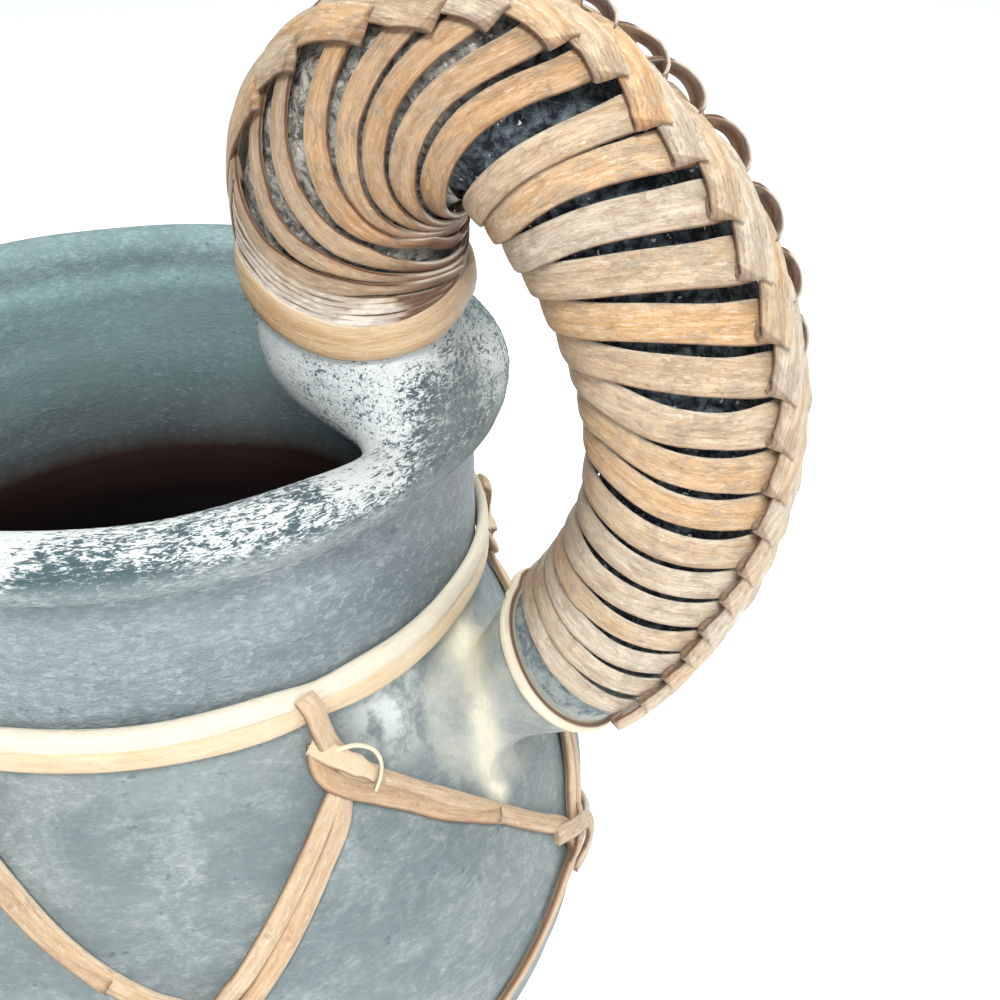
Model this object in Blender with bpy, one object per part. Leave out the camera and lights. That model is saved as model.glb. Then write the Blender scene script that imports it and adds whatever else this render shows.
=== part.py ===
"""Rattan wrapped pitcher: a thrown clay jug with a pulled handle over its rim.

One cane strip winds the handle in 24 turns and a three strand plait runs down its back. Two
cane hoops ring the neck, and six doubled strands hang from them as a knotted net that ends
in a hoop low on the belly. Nothing on the pitcher moves.

Frame: origin at the middle of the flat foot, +Z up, the handle toward +X. Metres.
"""
import bpy
import bmesh
import math
import numpy as np
from mathutils import Vector

# Clay jug
SHOULDER_TOP_HEIGHT = 0.1370
NECK_LENGTH = 0.0350
NECK_RADIUS = 0.0603
LIP_FLARE = 0.0014
LIP_BEAD_RADIUS = 0.0054
LIP_HEIGHT = SHOULDER_TOP_HEIGHT + NECK_LENGTH
LIP_RADIUS = NECK_RADIUS + LIP_FLARE
BELLY_RADIUS = 0.0818
BELLY_HEIGHT = 0.0780
SHOULDER_TURN_SHARE = 0.49
FOOT_RADIUS = 0.0460
FOOT_EDGE = 0.0012
WALL = 0.0056
FLOOR_THICKNESS = 0.0075
BELLY_CURVE_SHARE = 1.75
SHOULDER_CURVE_SHARE = 1.08
TURNED_SIDES = 48

# Pulled handle: a short leg over the rim, a tight crook and a wide bow down to the shoulder
LEG_INSET = 0.0157
LEG_REACH = LIP_RADIUS - LEG_INSET
LEG_RISE = 0.0153
LEG_LENGTH = 0.0182
LEG_LEAN = math.radians(1.4)
CROOK_RADIUS = 0.0208
CROOK_ANGLE = math.radians(131.9)
BOW_RADIUS = 0.0595
BOW_ANGLE = math.radians(96.8)
CORE_RADIUS = 0.0161
CORE_TAIL_RADIUS = 0.0132
TAPER_START_SHARE = 0.5
ROOT_SEAT = 0.0005
ROOT_HALF_DEPTH = 0.0044
ROOT_HALF_WIDTH = 0.0155
ROOT_INNER_CURVE_SHARE = 0.85
ROOT_OUTER_CURVE_SHARE = 2.0
FOOT_REACH = 0.0300
FOOT_HALF_DEPTH = 0.0156
FOOT_HALF_WIDTH = 0.0185
CORE_SIDES = 16

# Gaps between touching pieces, and between neighbouring turns of one strip
CLEARANCE = 0.0003
TURN_GAP = 0.0010
LEAST_GAP = 0.0004

# Cane winding on the handle. Its turns open like a fan, so the back and the inside of the
# handle each have their own start, end margin and spacing: counts of turns and their shares
STRIP_WIDTH = 0.0052
STRIP_THICKNESS = 0.0009
LOOP_POINTS = 24
SPINE_ANGLE = math.radians(45.0)
WINDING_TURNS = 24
BACK_START = 0.0243
BACK_END_MARGIN = 0.0031
BACK_SPACING_SHARES = ((8, 1.0), (6, 1.158), (10, 0.947))
INSIDE_START = 0.0134
INSIDE_END_MARGIN = 0.0018
INSIDE_SPACING_SHARES = ((8, 0.452), (16, 1.0))

# Split cane whipping and the wide band below the first turn, and the ring at the handle's foot
WHIPPING_TURNS = 2
WHIPPING_WIDTH = 0.0011
WHIPPING_BACK = 0.0165
WHIPPING_BACK_PITCH = 0.0017
WHIPPING_INSIDE = 0.0094
WHIPPING_INSIDE_PITCH = 0.0010
BAND_WIDTH = 0.0058
BAND_THICKNESS = 0.0010
BAND_BACK = 0.0125
BAND_INSIDE = 0.0060
END_RING_WIDTH = 0.0022
END_RING_THICKNESS = 0.0016
LAP_ANGLE = math.radians(50.0)

# Three strand plait along the back of the handle
PLAIT_ANGLE = math.radians(30.0)
PLAIT_SWING = 0.0045
PLAIT_LIFT = 0.0015
PLAIT_STRAND_WIDTH = 0.0027
PLAIT_STRAND_THICKNESS = 0.0008
PLAIT_STRANDS = 3
PLAIT_POINTS_PER_TURN = 4

# Neck hoops, net and knots. The net was tied by eye, so its knots are unevenly spaced:
# degrees round from +X for the ties at the neck and for the knots between them
NET_STRANDS = 6
TIE_DEGREES = (-33.0, 36.0, 96.0, 155.0, 214.0, 272.0)
MEETING_DEGREES = (3.0, 66.0, 126.0, 185.0, 243.0, 305.5)
NECK_TOP_HEIGHT = LIP_HEIGHT - LIP_BEAD_RADIUS
HOOP_PLACE_SHARE = 0.108
HOOP_HEIGHT = SHOULDER_TOP_HEIGHT + (NECK_TOP_HEIGHT - SHOULDER_TOP_HEIGHT) * HOOP_PLACE_SHARE
# Drops: the tie knots below the hoops, and every other row below the tie knots
TIE_DROP = 0.0192
MEETING_DROPS = (0.0340, 0.0310, 0.0295, 0.0310, 0.0290, 0.0250)
LOW_KNOT_DROP = 0.0610
NET_END_DROP = 0.0910
TIE_KNOT_HEIGHT = HOOP_HEIGHT - TIE_DROP
LOW_KNOT_HEIGHT = TIE_KNOT_HEIGHT - LOW_KNOT_DROP
NET_END_HEIGHT = TIE_KNOT_HEIGHT - NET_END_DROP
HOOP_STRAND_WIDTH = 0.0031
HOOP_STRAND_THICKNESS = 0.0016
HOOP_SPACING = 0.0035
HOOP_POINTS = 72
HOOP_END_GAP = 0.0008
NECK_CROSSING = 0.0041
BASE_CROSSING = 0.0072
BULGE_FADE = 0.0090
NET_WIDTH = 0.0031
NET_THICKNESS = 0.0012
NET_CORNER_SHARE = 0.95
NET_ROW_SHARES = (0.0, 0.06, 0.22, 0.40, 0.60, 0.78, 0.94)
TIE_FRONT_LENGTH = 0.0060
KNOT_WIDTH = 0.0030
KNOT_THICKNESS = 0.0009
KNOT_SPREAD = 0.0014
BASE_HOOP_WIDTH = 0.0028
STRAND_TAIL = 0.0040

# Clay, paint and cane colours: red, green, blue, then roughness
PAINTED_CLAY = (0.36, 0.44, 0.47, 0.85)
DARK_CLAY = (0.10, 0.13, 0.15, 0.80)
TAN_CANE = (0.72, 0.50, 0.29, 0.60)
PALE_CANE = (0.78, 0.68, 0.53, 0.65)
YELLOW_CANE = (0.80, 0.60, 0.34, 0.50)


def material(name, finish):
    """A plain Principled finish for one sub-part."""
    made = bpy.data.materials.new(name)
    made.use_nodes = True
    shader = made.node_tree.nodes["Principled BSDF"]
    shader.inputs["Base Color"].default_value = (finish[0], finish[1], finish[2], 1.0)
    shader.inputs["Roughness"].default_value = finish[3]
    shader.inputs["Metallic"].default_value = 0.0
    return made


def add_object(name, bm, finish, crease=math.radians(40.0)):
    """Turn a finished bmesh into a named, smooth shaded object with its own material."""
    bmesh.ops.recalc_face_normals(bm, faces=bm.faces)
    mesh = bpy.data.meshes.new(name)
    bm.to_mesh(mesh)
    bm.free()
    mesh.shade_smooth()
    mesh.set_sharp_from_angle(angle=crease)
    mesh.materials.append(material(name + "_finish", finish))
    made = bpy.data.objects.new(name, mesh)
    bpy.context.scene.collection.objects.link(made)
    return made


def mix(first, second, share):
    return first + (second - first) * share


def smooth_step(value):
    value = min(1.0, max(0.0, value))
    return value * value * (3.0 - 2.0 * value)


def sweep(sections):
    """Skin a row of equal point rings, with a flat cap on each end."""
    bm = bmesh.new()
    rings = [[bm.verts.new(point) for point in section] for section in sections]
    sides = len(rings[0])
    for near, far in zip(rings, rings[1:]):
        for j in range(sides):
            k = (j + 1) % sides
            bm.faces.new((near[j], near[k], far[k], far[j]))
    bm.faces.new(rings[0])
    bm.faces.new(rings[-1])
    return bm


def strip_sections(points, normals, widths, thickness):
    """Flat rectangular sections along a path, each lying square to its surface normal."""
    sections = []
    count = len(points)
    for i in range(count):
        before, after = points[max(i - 1, 0)], points[min(i + 1, count - 1)]
        along = (after - before).normalized()
        across = normals[i].cross(along).normalized()
        out = along.cross(across).normalized()
        side = across * (widths[i] / 2.0)
        rise = out * (thickness / 2.0)
        centre = points[i]
        sections.append((centre + side + rise, centre - side + rise,
                         centre - side - rise, centre + side - rise))
    return sections


# Body outline

def body_radius(height):
    """Outer radius of the thrown jug, from the foot to the underside of the lip."""
    if height <= BELLY_HEIGHT:
        depth = (BELLY_HEIGHT - height) / BELLY_HEIGHT
        return BELLY_RADIUS - (BELLY_RADIUS - FOOT_RADIUS) * depth ** BELLY_CURVE_SHARE
    rise = (height - BELLY_HEIGHT) / (SHOULDER_TOP_HEIGHT - BELLY_HEIGHT)
    rise = min(1.0, rise) ** SHOULDER_CURVE_SHARE
    return mix(NECK_RADIUS, BELLY_RADIUS, (1.0 + math.cos(math.pi * rise)) / 2.0)


def body_normal(height):
    """Outward direction of the body wall in the plane of radius and height."""
    step = WALL / 4.0
    slope = (body_radius(height + step) - body_radius(height - step)) / (2.0 * step)
    length = math.hypot(1.0, slope)
    return 1.0 / length, -slope / length


def body_point(angle, height, lift):
    """A point a given distance off the body wall, with the wall's outward normal."""
    out_r, out_z = body_normal(height)
    radius = body_radius(height) + out_r * lift
    normal = Vector((math.cos(angle) * out_r, math.sin(angle) * out_r, out_z))
    place = Vector((math.cos(angle) * radius, math.sin(angle) * radius, height + out_z * lift))
    return place, normal


def lip_outline(grow, start_degrees, end_degrees, steps):
    """Part of the lip bead's round section, as radius and height."""
    outline = []
    for i in range(steps + 1):
        turn = math.radians(mix(start_degrees, end_degrees, i / steps))
        bead = LIP_BEAD_RADIUS + grow
        outline.append((LIP_RADIUS + bead * math.cos(turn), LIP_HEIGHT + bead * math.sin(turn)))
    return outline


def wall_heights():
    """Heights of the wall's rings, close together where the shoulder hollows."""
    turn = mix(BELLY_HEIGHT, SHOULDER_TOP_HEIGHT, SHOULDER_TURN_SHARE)
    spans = ((FOOT_EDGE, BELLY_HEIGHT, 8), (BELLY_HEIGHT, turn, 4),
             (turn, SHOULDER_TOP_HEIGHT, 8), (SHOULDER_TOP_HEIGHT, NECK_TOP_HEIGHT, 2))
    heights = [FOOT_EDGE]
    for low, high, rows in spans:
        heights += [mix(low, high, (i + 1) / rows) for i in range(rows)]
    return heights


def outer_outline(grow):
    """Wall outline from the foot's edge up to the lip, grown outward by a clearance."""
    outline = []
    for height in wall_heights():
        out_r, out_z = body_normal(height)
        outline.append((body_radius(height) + grow * out_r, height + grow * out_z))
    return outline


def inner_outline(rows):
    """Inside of the wall, from the neck down to the inner floor."""
    outline = []
    low = FLOOR_THICKNESS + WALL
    for i in range(rows + 1):
        height = mix(NECK_TOP_HEIGHT, low, i / rows)
        out_r, out_z = body_normal(height)
        outline.append((body_radius(height) - WALL * out_r, height - WALL * out_z))
    return outline


def revolve(outline):
    """Turn an outline that starts and ends on the axis into a closed solid."""
    bm = bmesh.new()
    profile = [bm.verts.new((radius, 0.0, height)) for radius, height in outline]
    edges = [bm.edges.new(pair) for pair in zip(profile, profile[1:])]
    bmesh.ops.spin(bm, geom=profile + edges, cent=(0.0, 0.0, 0.0), axis=(0.0, 0.0, 1.0),
                   angle=2.0 * math.pi, steps=TURNED_SIDES, use_merge=True)
    bmesh.ops.remove_doubles(bm, verts=bm.verts, dist=CLEARANCE / 10.0)
    return bm


def build_jug():
    inner = inner_outline(9)
    outline = [(0.0, 0.0), (FOOT_RADIUS - FOOT_EDGE, 0.0)]
    outline += outer_outline(0.0)
    outline += lip_outline(0.0, -50.0, 200.0, 8)
    outline += inner
    outline.append((inner[-1][0] - WALL, FLOOR_THICKNESS))
    outline.append((0.0, FLOOR_THICKNESS))
    return add_object("jug_body", revolve(outline), PAINTED_CLAY)


def build_luting_cutter():
    """The jug grown by the clearance and filled to its rim, to cut the handle to its seats."""
    outline = [(0.0, -CLEARANCE), (FOOT_RADIUS, -CLEARANCE)]
    outline += outer_outline(CLEARANCE)
    outline += lip_outline(CLEARANCE, -50.0, 180.0, 12)
    outline.append((0.0, LIP_HEIGHT))
    cutter = add_object("luting_cutter", revolve(outline), DARK_CLAY)
    cutter.hide_render = True
    cutter.display_type = "WIRE"
    return cutter


# Handle line

CROOK_LENGTH = CROOK_RADIUS * CROOK_ANGLE
BOW_LENGTH = BOW_RADIUS * BOW_ANGLE
HANDLE_LENGTH = LEG_LENGTH + CROOK_LENGTH + BOW_LENGTH


def handle_line(distance):
    """Centre of the handle and its heading in the plane y = 0, at a distance from the root."""
    heading = math.pi / 2.0 + LEG_LEAN
    x, z = LEG_REACH, LIP_HEIGHT + LEG_RISE
    leg = min(distance, LEG_LENGTH)
    x, z = x + leg * math.cos(heading), z + leg * math.sin(heading)
    rest = distance - leg
    for radius, length in ((CROOK_RADIUS, CROOK_LENGTH), (BOW_RADIUS, BOW_LENGTH)):
        run = min(max(rest, 0.0), length)
        turned = heading - run / radius
        x += radius * (math.sin(heading) - math.sin(turned))
        z += radius * (math.cos(turned) - math.cos(heading))
        heading = turned
        rest -= run
    if rest > 0.0:
        x, z = x + rest * math.cos(heading), z + rest * math.sin(heading)
    return Vector((x, 0.0, z)), heading


def core_radius(distance):
    start = HANDLE_LENGTH * TAPER_START_SHARE
    share = (distance - start) / (HANDLE_LENGTH - start)
    return mix(CORE_RADIUS, CORE_TAIL_RADIUS, min(1.0, max(0.0, share)))


def handle_point(distance, angle, lift):
    """A point off the core: angle 0 is the back of the handle, positive toward -Y."""
    centre, heading = handle_line(distance)
    back = Vector((-math.sin(heading), 0.0, math.cos(heading)))
    side = Vector((0.0, -1.0, 0.0))
    normal = back * math.cos(angle) + side * math.sin(angle)
    return centre + normal * (core_radius(distance) + lift), normal


def core_ring(centre, depth_axis, half_depth, half_width):
    ring = []
    for i in range(CORE_SIDES):
        turn = 2.0 * math.pi * i / CORE_SIDES
        across = Vector((0.0, -half_width * math.sin(turn), 0.0))
        ring.append(centre + depth_axis * (half_depth * math.cos(turn)) + across)
    return ring


def root_sections(steps):
    """Level slices from the lip bead up to the leg, thin on the lip and round at the leg."""
    top, _ = handle_line(0.0)
    low = LIP_HEIGHT + ROOT_SEAT
    sections = []
    for i in range(steps):
        share = i / steps
        inner = mix(LIP_RADIUS - ROOT_HALF_DEPTH, LEG_REACH - CORE_RADIUS,
                    share ** ROOT_INNER_CURVE_SHARE)
        outer = mix(LIP_RADIUS + ROOT_HALF_DEPTH, LEG_REACH + CORE_RADIUS,
                    share ** ROOT_OUTER_CURVE_SHARE)
        width = mix(ROOT_HALF_WIDTH, CORE_RADIUS, share)
        centre = Vector(((inner + outer) / 2.0, 0.0, mix(low, top.z, share)))
        ring = core_ring(centre, Vector((-1.0, 0.0, 0.0)), (outer - inner) / 2.0, width)
        for point in ring:
            sag = LIP_RADIUS - math.sqrt(LIP_RADIUS ** 2 - point.y ** 2)
            point.x -= sag * (1.0 - share)
        sections.append(ring)
    return sections


def build_handle_core(cutter):
    """One solid from lip to shoulder, cut to its seats on both by the grown jug."""
    sections = root_sections(6)
    stations = [LEG_LENGTH * i / 3 for i in range(3)]
    stations += [LEG_LENGTH + CROOK_LENGTH * i / 15 for i in range(15)]
    stations += [LEG_LENGTH + CROOK_LENGTH + BOW_LENGTH * i / 18 for i in range(19)]
    for distance in stations:
        centre, heading = handle_line(distance)
        back = Vector((-math.sin(heading), 0.0, math.cos(heading)))
        radius = core_radius(distance)
        sections.append(core_ring(centre, back, radius, radius))
    for i in range(1, 6):
        share = i / 5
        centre, heading = handle_line(HANDLE_LENGTH + FOOT_REACH * share)
        back = Vector((-math.sin(heading), 0.0, math.cos(heading)))
        flare = smooth_step(share * 1.6)
        sections.append(core_ring(centre, back, mix(CORE_TAIL_RADIUS, FOOT_HALF_DEPTH, flare),
                                  mix(CORE_TAIL_RADIUS, FOOT_HALF_WIDTH, flare)))
    core = add_object("handle_core", sweep(sections), DARK_CLAY)
    cut = core.modifiers.new("seat_cut", "BOOLEAN")
    cut.operation = "DIFFERENCE"
    cut.object = cutter
    return core


# Cane on the handle

def stepped(turns, spacing_shares):
    """Room taken by some turns, with spacings that change after set counts."""
    reached, left = 0.0, turns
    for count, spacing in spacing_shares:
        run = min(left, count)
        reached += run * spacing
        left -= run
        if left <= 0.0:
            break
    return reached


def station(turn, start, end, spacing_shares):
    """Place of a turn between the start and the end of the winding."""
    share = stepped(turn, spacing_shares) / stepped(WINDING_TURNS, spacing_shares)
    return mix(start, end, share)


CANE_RADIUS = CORE_RADIUS + CLEARANCE + STRIP_THICKNESS
CROOK_INSIDE = CROOK_LENGTH * (CROOK_RADIUS - CANE_RADIUS) / CROOK_RADIUS
BOW_INSIDE = BOW_LENGTH * (BOW_RADIUS - CANE_RADIUS) / BOW_RADIUS
INSIDE_LENGTH = LEG_LENGTH + CROOK_INSIDE + BOW_INSIDE


def from_inside(length):
    """Distance along the handle's line whose inner side lies this far along the inside."""
    if length <= LEG_LENGTH:
        return length
    if length <= LEG_LENGTH + CROOK_INSIDE:
        return LEG_LENGTH + (length - LEG_LENGTH) * CROOK_LENGTH / CROOK_INSIDE
    past = length - LEG_LENGTH - CROOK_INSIDE
    return LEG_LENGTH + CROOK_LENGTH + past * BOW_LENGTH / BOW_INSIDE


def fan_point(turn, lift, back, inside):
    """A point of a winding whose turns stand at one distance on the back, another inside."""
    angle = SPINE_ANGLE - 2.0 * math.pi * turn
    share = (1.0 - math.cos(angle)) / 2.0
    distance = mix(back(turn), inside(turn), share)
    return handle_point(distance, angle, lift)


def winding_back(turn):
    return station(turn, BACK_START, HANDLE_LENGTH - BACK_END_MARGIN, BACK_SPACING_SHARES)


def winding_inside(turn):
    return from_inside(station(turn, INSIDE_START, INSIDE_LENGTH - INSIDE_END_MARGIN,
                               INSIDE_SPACING_SHARES))


def wound_strip(first, last, lift, back, inside, widest):
    """Centre points, normals and widths of a fanned winding, drawn in where turns crowd."""
    count = round((last - first) * LOOP_POINTS) + 1
    points, normals, widths = [], [], []
    for i in range(count):
        turn = mix(first, last, i / (count - 1))
        here, normal = fan_point(turn, lift, back, inside)
        before, _ = fan_point(turn - 1.0, lift, back, inside)
        after, _ = fan_point(turn + 1.0, lift, back, inside)
        room = min((here - before).length, (after - here).length) - TURN_GAP
        points.append(here)
        normals.append(normal)
        widths.append(min(widest, room))
    return points, normals, widths


def least_gap(sections):
    """Least distance between any turn's edges and the next turn's, measured on points."""
    corners = np.array([[tuple(corner) for corner in section] for section in sections])
    rails = []
    for j in range(4):
        rail = corners[:, j]
        fine = [rail[:-1] + (rail[1:] - rail[:-1]) * k / 6.0 for k in range(6)]
        rails.append(np.stack(fine, axis=1).reshape(-1, 3))
    step = LOOP_POINTS * 6
    least = math.inf
    for first in rails:
        for second in rails:
            for shift in range(step * 2 // 3, step * 4 // 3, 2):
                if shift < len(second):
                    apart = np.linalg.norm(first[:-shift] - second[shift:], axis=1)
                    least = min(least, float(apart.min()))
    return least


def build_winding():
    """The main strip, from the end of the whipping to the handle's tail."""
    points, normals, widths = wound_strip(
        -0.5, WINDING_TURNS - 0.5, CLEARANCE + STRIP_THICKNESS / 2.0,
        winding_back, winding_inside, STRIP_WIDTH)
    sections = strip_sections(points, normals, widths, STRIP_THICKNESS)
    gap = least_gap(sections)
    print("handle winding: least gap to itself %.2f mm, over the %.2f mm it needs: %s"
          % (gap * 1000.0, LEAST_GAP * 1000.0, gap > LEAST_GAP))
    return add_object("handle_winding", sweep(sections), TAN_CANE)


def build_whipping():
    """Two turns of thin split cane between the wide band and the first turn."""
    def back(turn):
        return WHIPPING_BACK + turn * WHIPPING_BACK_PITCH

    def inside(turn):
        return from_inside(WHIPPING_INSIDE + turn * WHIPPING_INSIDE_PITCH)

    lift = CLEARANCE + STRIP_THICKNESS / 2.0
    points, normals, widths = wound_strip(0.0, WHIPPING_TURNS, lift, back, inside,
                                          WHIPPING_WIDTH)
    narrow = [max(width, WHIPPING_WIDTH * 0.4) for width in widths]
    sections = strip_sections(points, normals, narrow, STRIP_THICKNESS)
    return add_object("start_whipping", sweep(sections), PALE_CANE)


def build_lapped_ring(name, back, inside, width, thickness, finish):
    """A strip once round the handle, its last stretch lapped over its start."""
    points, normals = [], []
    steps = 32
    for i in range(steps + 1):
        angle = mix(0.0, 2.0 * math.pi + LAP_ANGLE, i / steps) + math.pi
        over = smooth_step((angle - math.pi - 2.0 * math.pi + LAP_ANGLE) / LAP_ANGLE)
        lift = CLEARANCE + thickness / 2.0 + (thickness + CLEARANCE) * over
        share = (1.0 - math.cos(angle)) / 2.0
        place, normal = handle_point(mix(back, inside, share), angle, lift)
        points.append(place)
        normals.append(normal)
    sections = strip_sections(points, normals, [width] * len(points), thickness)
    return add_object(name, sweep(sections), finish)


def build_plait_strand(index, finish):
    """One strand of the plait: it swings from side to side once every three turns."""
    points, normals, widths = [], [], []
    first, last = -0.4, WINDING_TURNS - 0.7
    count = round((last - first) * PLAIT_POINTS_PER_TURN) + 1
    seat = 2.0 * CLEARANCE + STRIP_THICKNESS + PLAIT_STRAND_THICKNESS / 2.0 + PLAIT_LIFT
    for i in range(count):
        turn = mix(first, last, i / (count - 1))
        phase = 2.0 * math.pi * (turn + index) / PLAIT_STRANDS
        distance = winding_back(turn)
        swing = PLAIT_SWING * math.sin(phase)
        angle = PLAIT_ANGLE + swing / (core_radius(distance) + seat)
        lift = seat + PLAIT_LIFT * math.sin(2.0 * phase)
        place, normal = handle_point(distance, angle, lift)
        points.append(place)
        normals.append(normal)
        widths.append(PLAIT_STRAND_WIDTH)
    sections = strip_sections(points, normals, widths, PLAIT_STRAND_THICKNESS)
    return add_object("plait_strand_%d" % (index + 1), sweep(sections), finish)


# Hoops and net

def kiss(height):
    """Angle from a knot's middle to either of the two strands that lie side by side in it."""
    return (NET_WIDTH + CLEARANCE) / 2.0 / body_radius(height)


def bulge(angle, height, centres, half_width):
    """How far a hoop lifts where it crosses the strands, from 0 to 1."""
    most = 0.0
    for centre in centres:
        turn = (angle - centre + math.pi) % (2.0 * math.pi) - math.pi
        away = abs(turn) * body_radius(height)
        most = max(most, 1.0 - smooth_step((away - half_width) / BULGE_FADE))
    return most


def build_hoop(name, height, width, centres, crossing, start, finish):
    """An open ring of cane on the wall, its ends nearly meeting, lifted over what it crosses."""
    points, normals = [], []
    gap = HOOP_END_GAP / body_radius(height)
    for i in range(HOOP_POINTS + 1):
        angle = start + mix(gap / 2.0, 2.0 * math.pi - gap / 2.0, i / HOOP_POINTS)
        rise = (NET_THICKNESS + CLEARANCE) * bulge(angle, height, centres, crossing)
        lift = CLEARANCE + HOOP_STRAND_THICKNESS / 2.0 + rise
        place, normal = body_point(angle, height, lift)
        points.append(place)
        normals.append(normal)
    sections = strip_sections(points, normals, [width] * len(points), HOOP_STRAND_THICKNESS)
    return add_object(name, sweep(sections), finish)


def leg_nodes(index, side):
    """Angles and heights of the knots down one leg: tie, meeting, low knot and base hoop."""
    tie = math.radians(TIE_DEGREES[index])
    meeting = index if side > 0.0 else index - 1
    meet = math.radians(MEETING_DEGREES[meeting])
    if side < 0.0 and index == 0:
        meet -= 2.0 * math.pi
    heights = (TIE_KNOT_HEIGHT, TIE_KNOT_HEIGHT - MEETING_DROPS[meeting],
               LOW_KNOT_HEIGHT, NET_END_HEIGHT)
    places = []
    for row, height in enumerate(heights):
        if row % 2 == 0:
            places.append((tie + side * kiss(height), height))
        else:
            places.append((meet - side * kiss(height), height))
    return places


def net_leg(index, side):
    """Angle, height and lift of one leg, from its tail at the base hoop up to the tie knot."""
    seat = CLEARANCE + NET_THICKNESS / 2.0
    nodes = leg_nodes(index, side)
    leg = [(nodes[-1][0], NET_END_HEIGHT - STRAND_TAIL, seat)]
    for row in range(len(nodes) - 1, 0, -1):
        low, high = nodes[row], nodes[row - 1]
        for share in NET_ROW_SHARES:
            wave = math.asin(NET_CORNER_SHARE * math.cos(math.pi * share))
            bend = (1.0 - wave / math.asin(NET_CORNER_SHARE)) / 2.0
            leg.append((mix(low[0], high[0], bend), mix(low[1], high[1], share), seat))
    leg.append((nodes[0][0], nodes[0][1], seat))
    return leg


def tie_loop():
    """From the top knot up behind the hoops, over them and down their front."""
    seat = CLEARANCE + NET_THICKNESS / 2.0
    low = HOOP_HEIGHT - (HOOP_SPACING + HOOP_STRAND_WIDTH) / 2.0
    high = HOOP_HEIGHT + (HOOP_SPACING + HOOP_STRAND_WIDTH) / 2.0
    front = 2.0 * (NET_THICKNESS + CLEARANCE) + HOOP_STRAND_THICKNESS + CLEARANCE
    front = front - NET_THICKNESS / 2.0 + CLEARANCE
    over = high + CLEARANCE + NET_THICKNESS
    side = kiss(HOOP_HEIGHT)
    middle = (seat + front) / 2.0
    rise = (seat + front) / 2.0 - seat
    return [(side, low, seat), (side, high, seat),
            (side * 0.7, over - NET_THICKNESS / 2.0, mix(seat, middle, 0.4)),
            (0.0, over + NET_THICKNESS / 4.0, middle),
            (-side * 0.7, over - NET_THICKNESS / 2.0, middle + rise * 0.6),
            (-side, high, front), (-side, low, front),
            (-side, low - TIE_FRONT_LENGTH / 2.0, mix(seat, front, 0.55)),
            (-side, low - TIE_FRONT_LENGTH, seat + CLEARANCE)]


def build_net_strand(index):
    """One cane doubled over the neck hoops, with both ends zigzagging down the belly."""
    leg = net_leg(index, 1.0)
    tie = math.radians(TIE_DEGREES[index])
    loop = [(tie + angle, height, lift) for angle, height, lift in tie_loop()]
    route = leg + loop + net_leg(index, -1.0)[::-1]
    points, normals = [], []
    for angle, height, lift in route:
        place, normal = body_point(angle, height, lift)
        points.append(place)
        normals.append(normal)
    top = len(leg) + 3
    normals[top] = Vector((0.0, 0.0, 1.0))
    for i in range(top + 1, top + 2):
        normals[i] = normals[i] + Vector((0.0, 0.0, 1.0))
    normals[top - 1] = Vector((0.0, 0.0, 1.0)) - normals[top - 1]
    for i in range(top - 2, top - 3, -1):
        normals[i] = -normals[i]
    for i in range(top - 2):
        normals[i] = -normals[i]
    sections = strip_sections(points, normals, [NET_WIDTH] * len(points), NET_THICKNESS)
    return add_object("net_strand_%d" % (index + 1), sweep(sections), YELLOW_CANE)


def build_knot(name, angle, height, finish):
    """A short strip arched over the two strands that meet side by side."""
    reach = NET_WIDTH + CLEARANCE * 1.5 + KNOT_SPREAD
    side = reach + CLEARANCE * 2.0 + KNOT_THICKNESS / 2.0
    seat = CLEARANCE + KNOT_THICKNESS / 2.0
    over = 2.0 * CLEARANCE + NET_THICKNESS + KNOT_THICKNESS / 2.0
    profile = [(-side, seat), (-side, over * 0.7), (-reach * 0.95, over + CLEARANCE),
               (0.0, over + CLEARANCE * 2.0),
               (reach * 0.95, over + CLEARANCE), (side, over * 0.7), (side, seat)]
    points, normals = [], []
    for across, lift in profile:
        place, _ = body_point(angle + across / body_radius(height), height, lift)
        points.append(place)
    centre, normal = body_point(angle, height, 0.0)
    for i, place in enumerate(points):
        before, after = points[max(i - 1, 0)], points[min(i + 1, len(points) - 1)]
        down = Vector((-math.sin(angle), math.cos(angle), 0.0)).cross(normal)
        normals.append((after - before).cross(down).normalized())
    sections = strip_sections(points, normals, [KNOT_WIDTH] * len(points), KNOT_THICKNESS)
    return add_object(name, sweep(sections), finish)


def build_net():
    lower = HOOP_HEIGHT - HOOP_SPACING / 2.0
    upper = HOOP_HEIGHT + HOOP_SPACING / 2.0
    ties = [math.radians(degrees) for degrees in TIE_DEGREES]
    meets = [math.radians(degrees) for degrees in MEETING_DEGREES]
    crossings = [tie + kiss(HOOP_HEIGHT) for tie in ties]
    build_hoop("neck_hoop_upper", upper, HOOP_STRAND_WIDTH, crossings, NECK_CROSSING,
               meets[2], PALE_CANE)
    build_hoop("neck_hoop_lower", lower, HOOP_STRAND_WIDTH, crossings, NECK_CROSSING,
               meets[3], YELLOW_CANE)
    build_hoop("base_hoop", NET_END_HEIGHT, BASE_HOOP_WIDTH, meets, BASE_CROSSING,
               ties[3], YELLOW_CANE)
    for i in range(NET_STRANDS):
        build_net_strand(i)
        build_knot("tie_knot_%d" % (i + 1), ties[i], TIE_KNOT_HEIGHT, TAN_CANE)
        build_knot("meeting_knot_%d" % (i + 1), meets[i], TIE_KNOT_HEIGHT - MEETING_DROPS[i],
                   TAN_CANE)
        build_knot("low_knot_%d" % (i + 1), ties[i], LOW_KNOT_HEIGHT, TAN_CANE)


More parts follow.
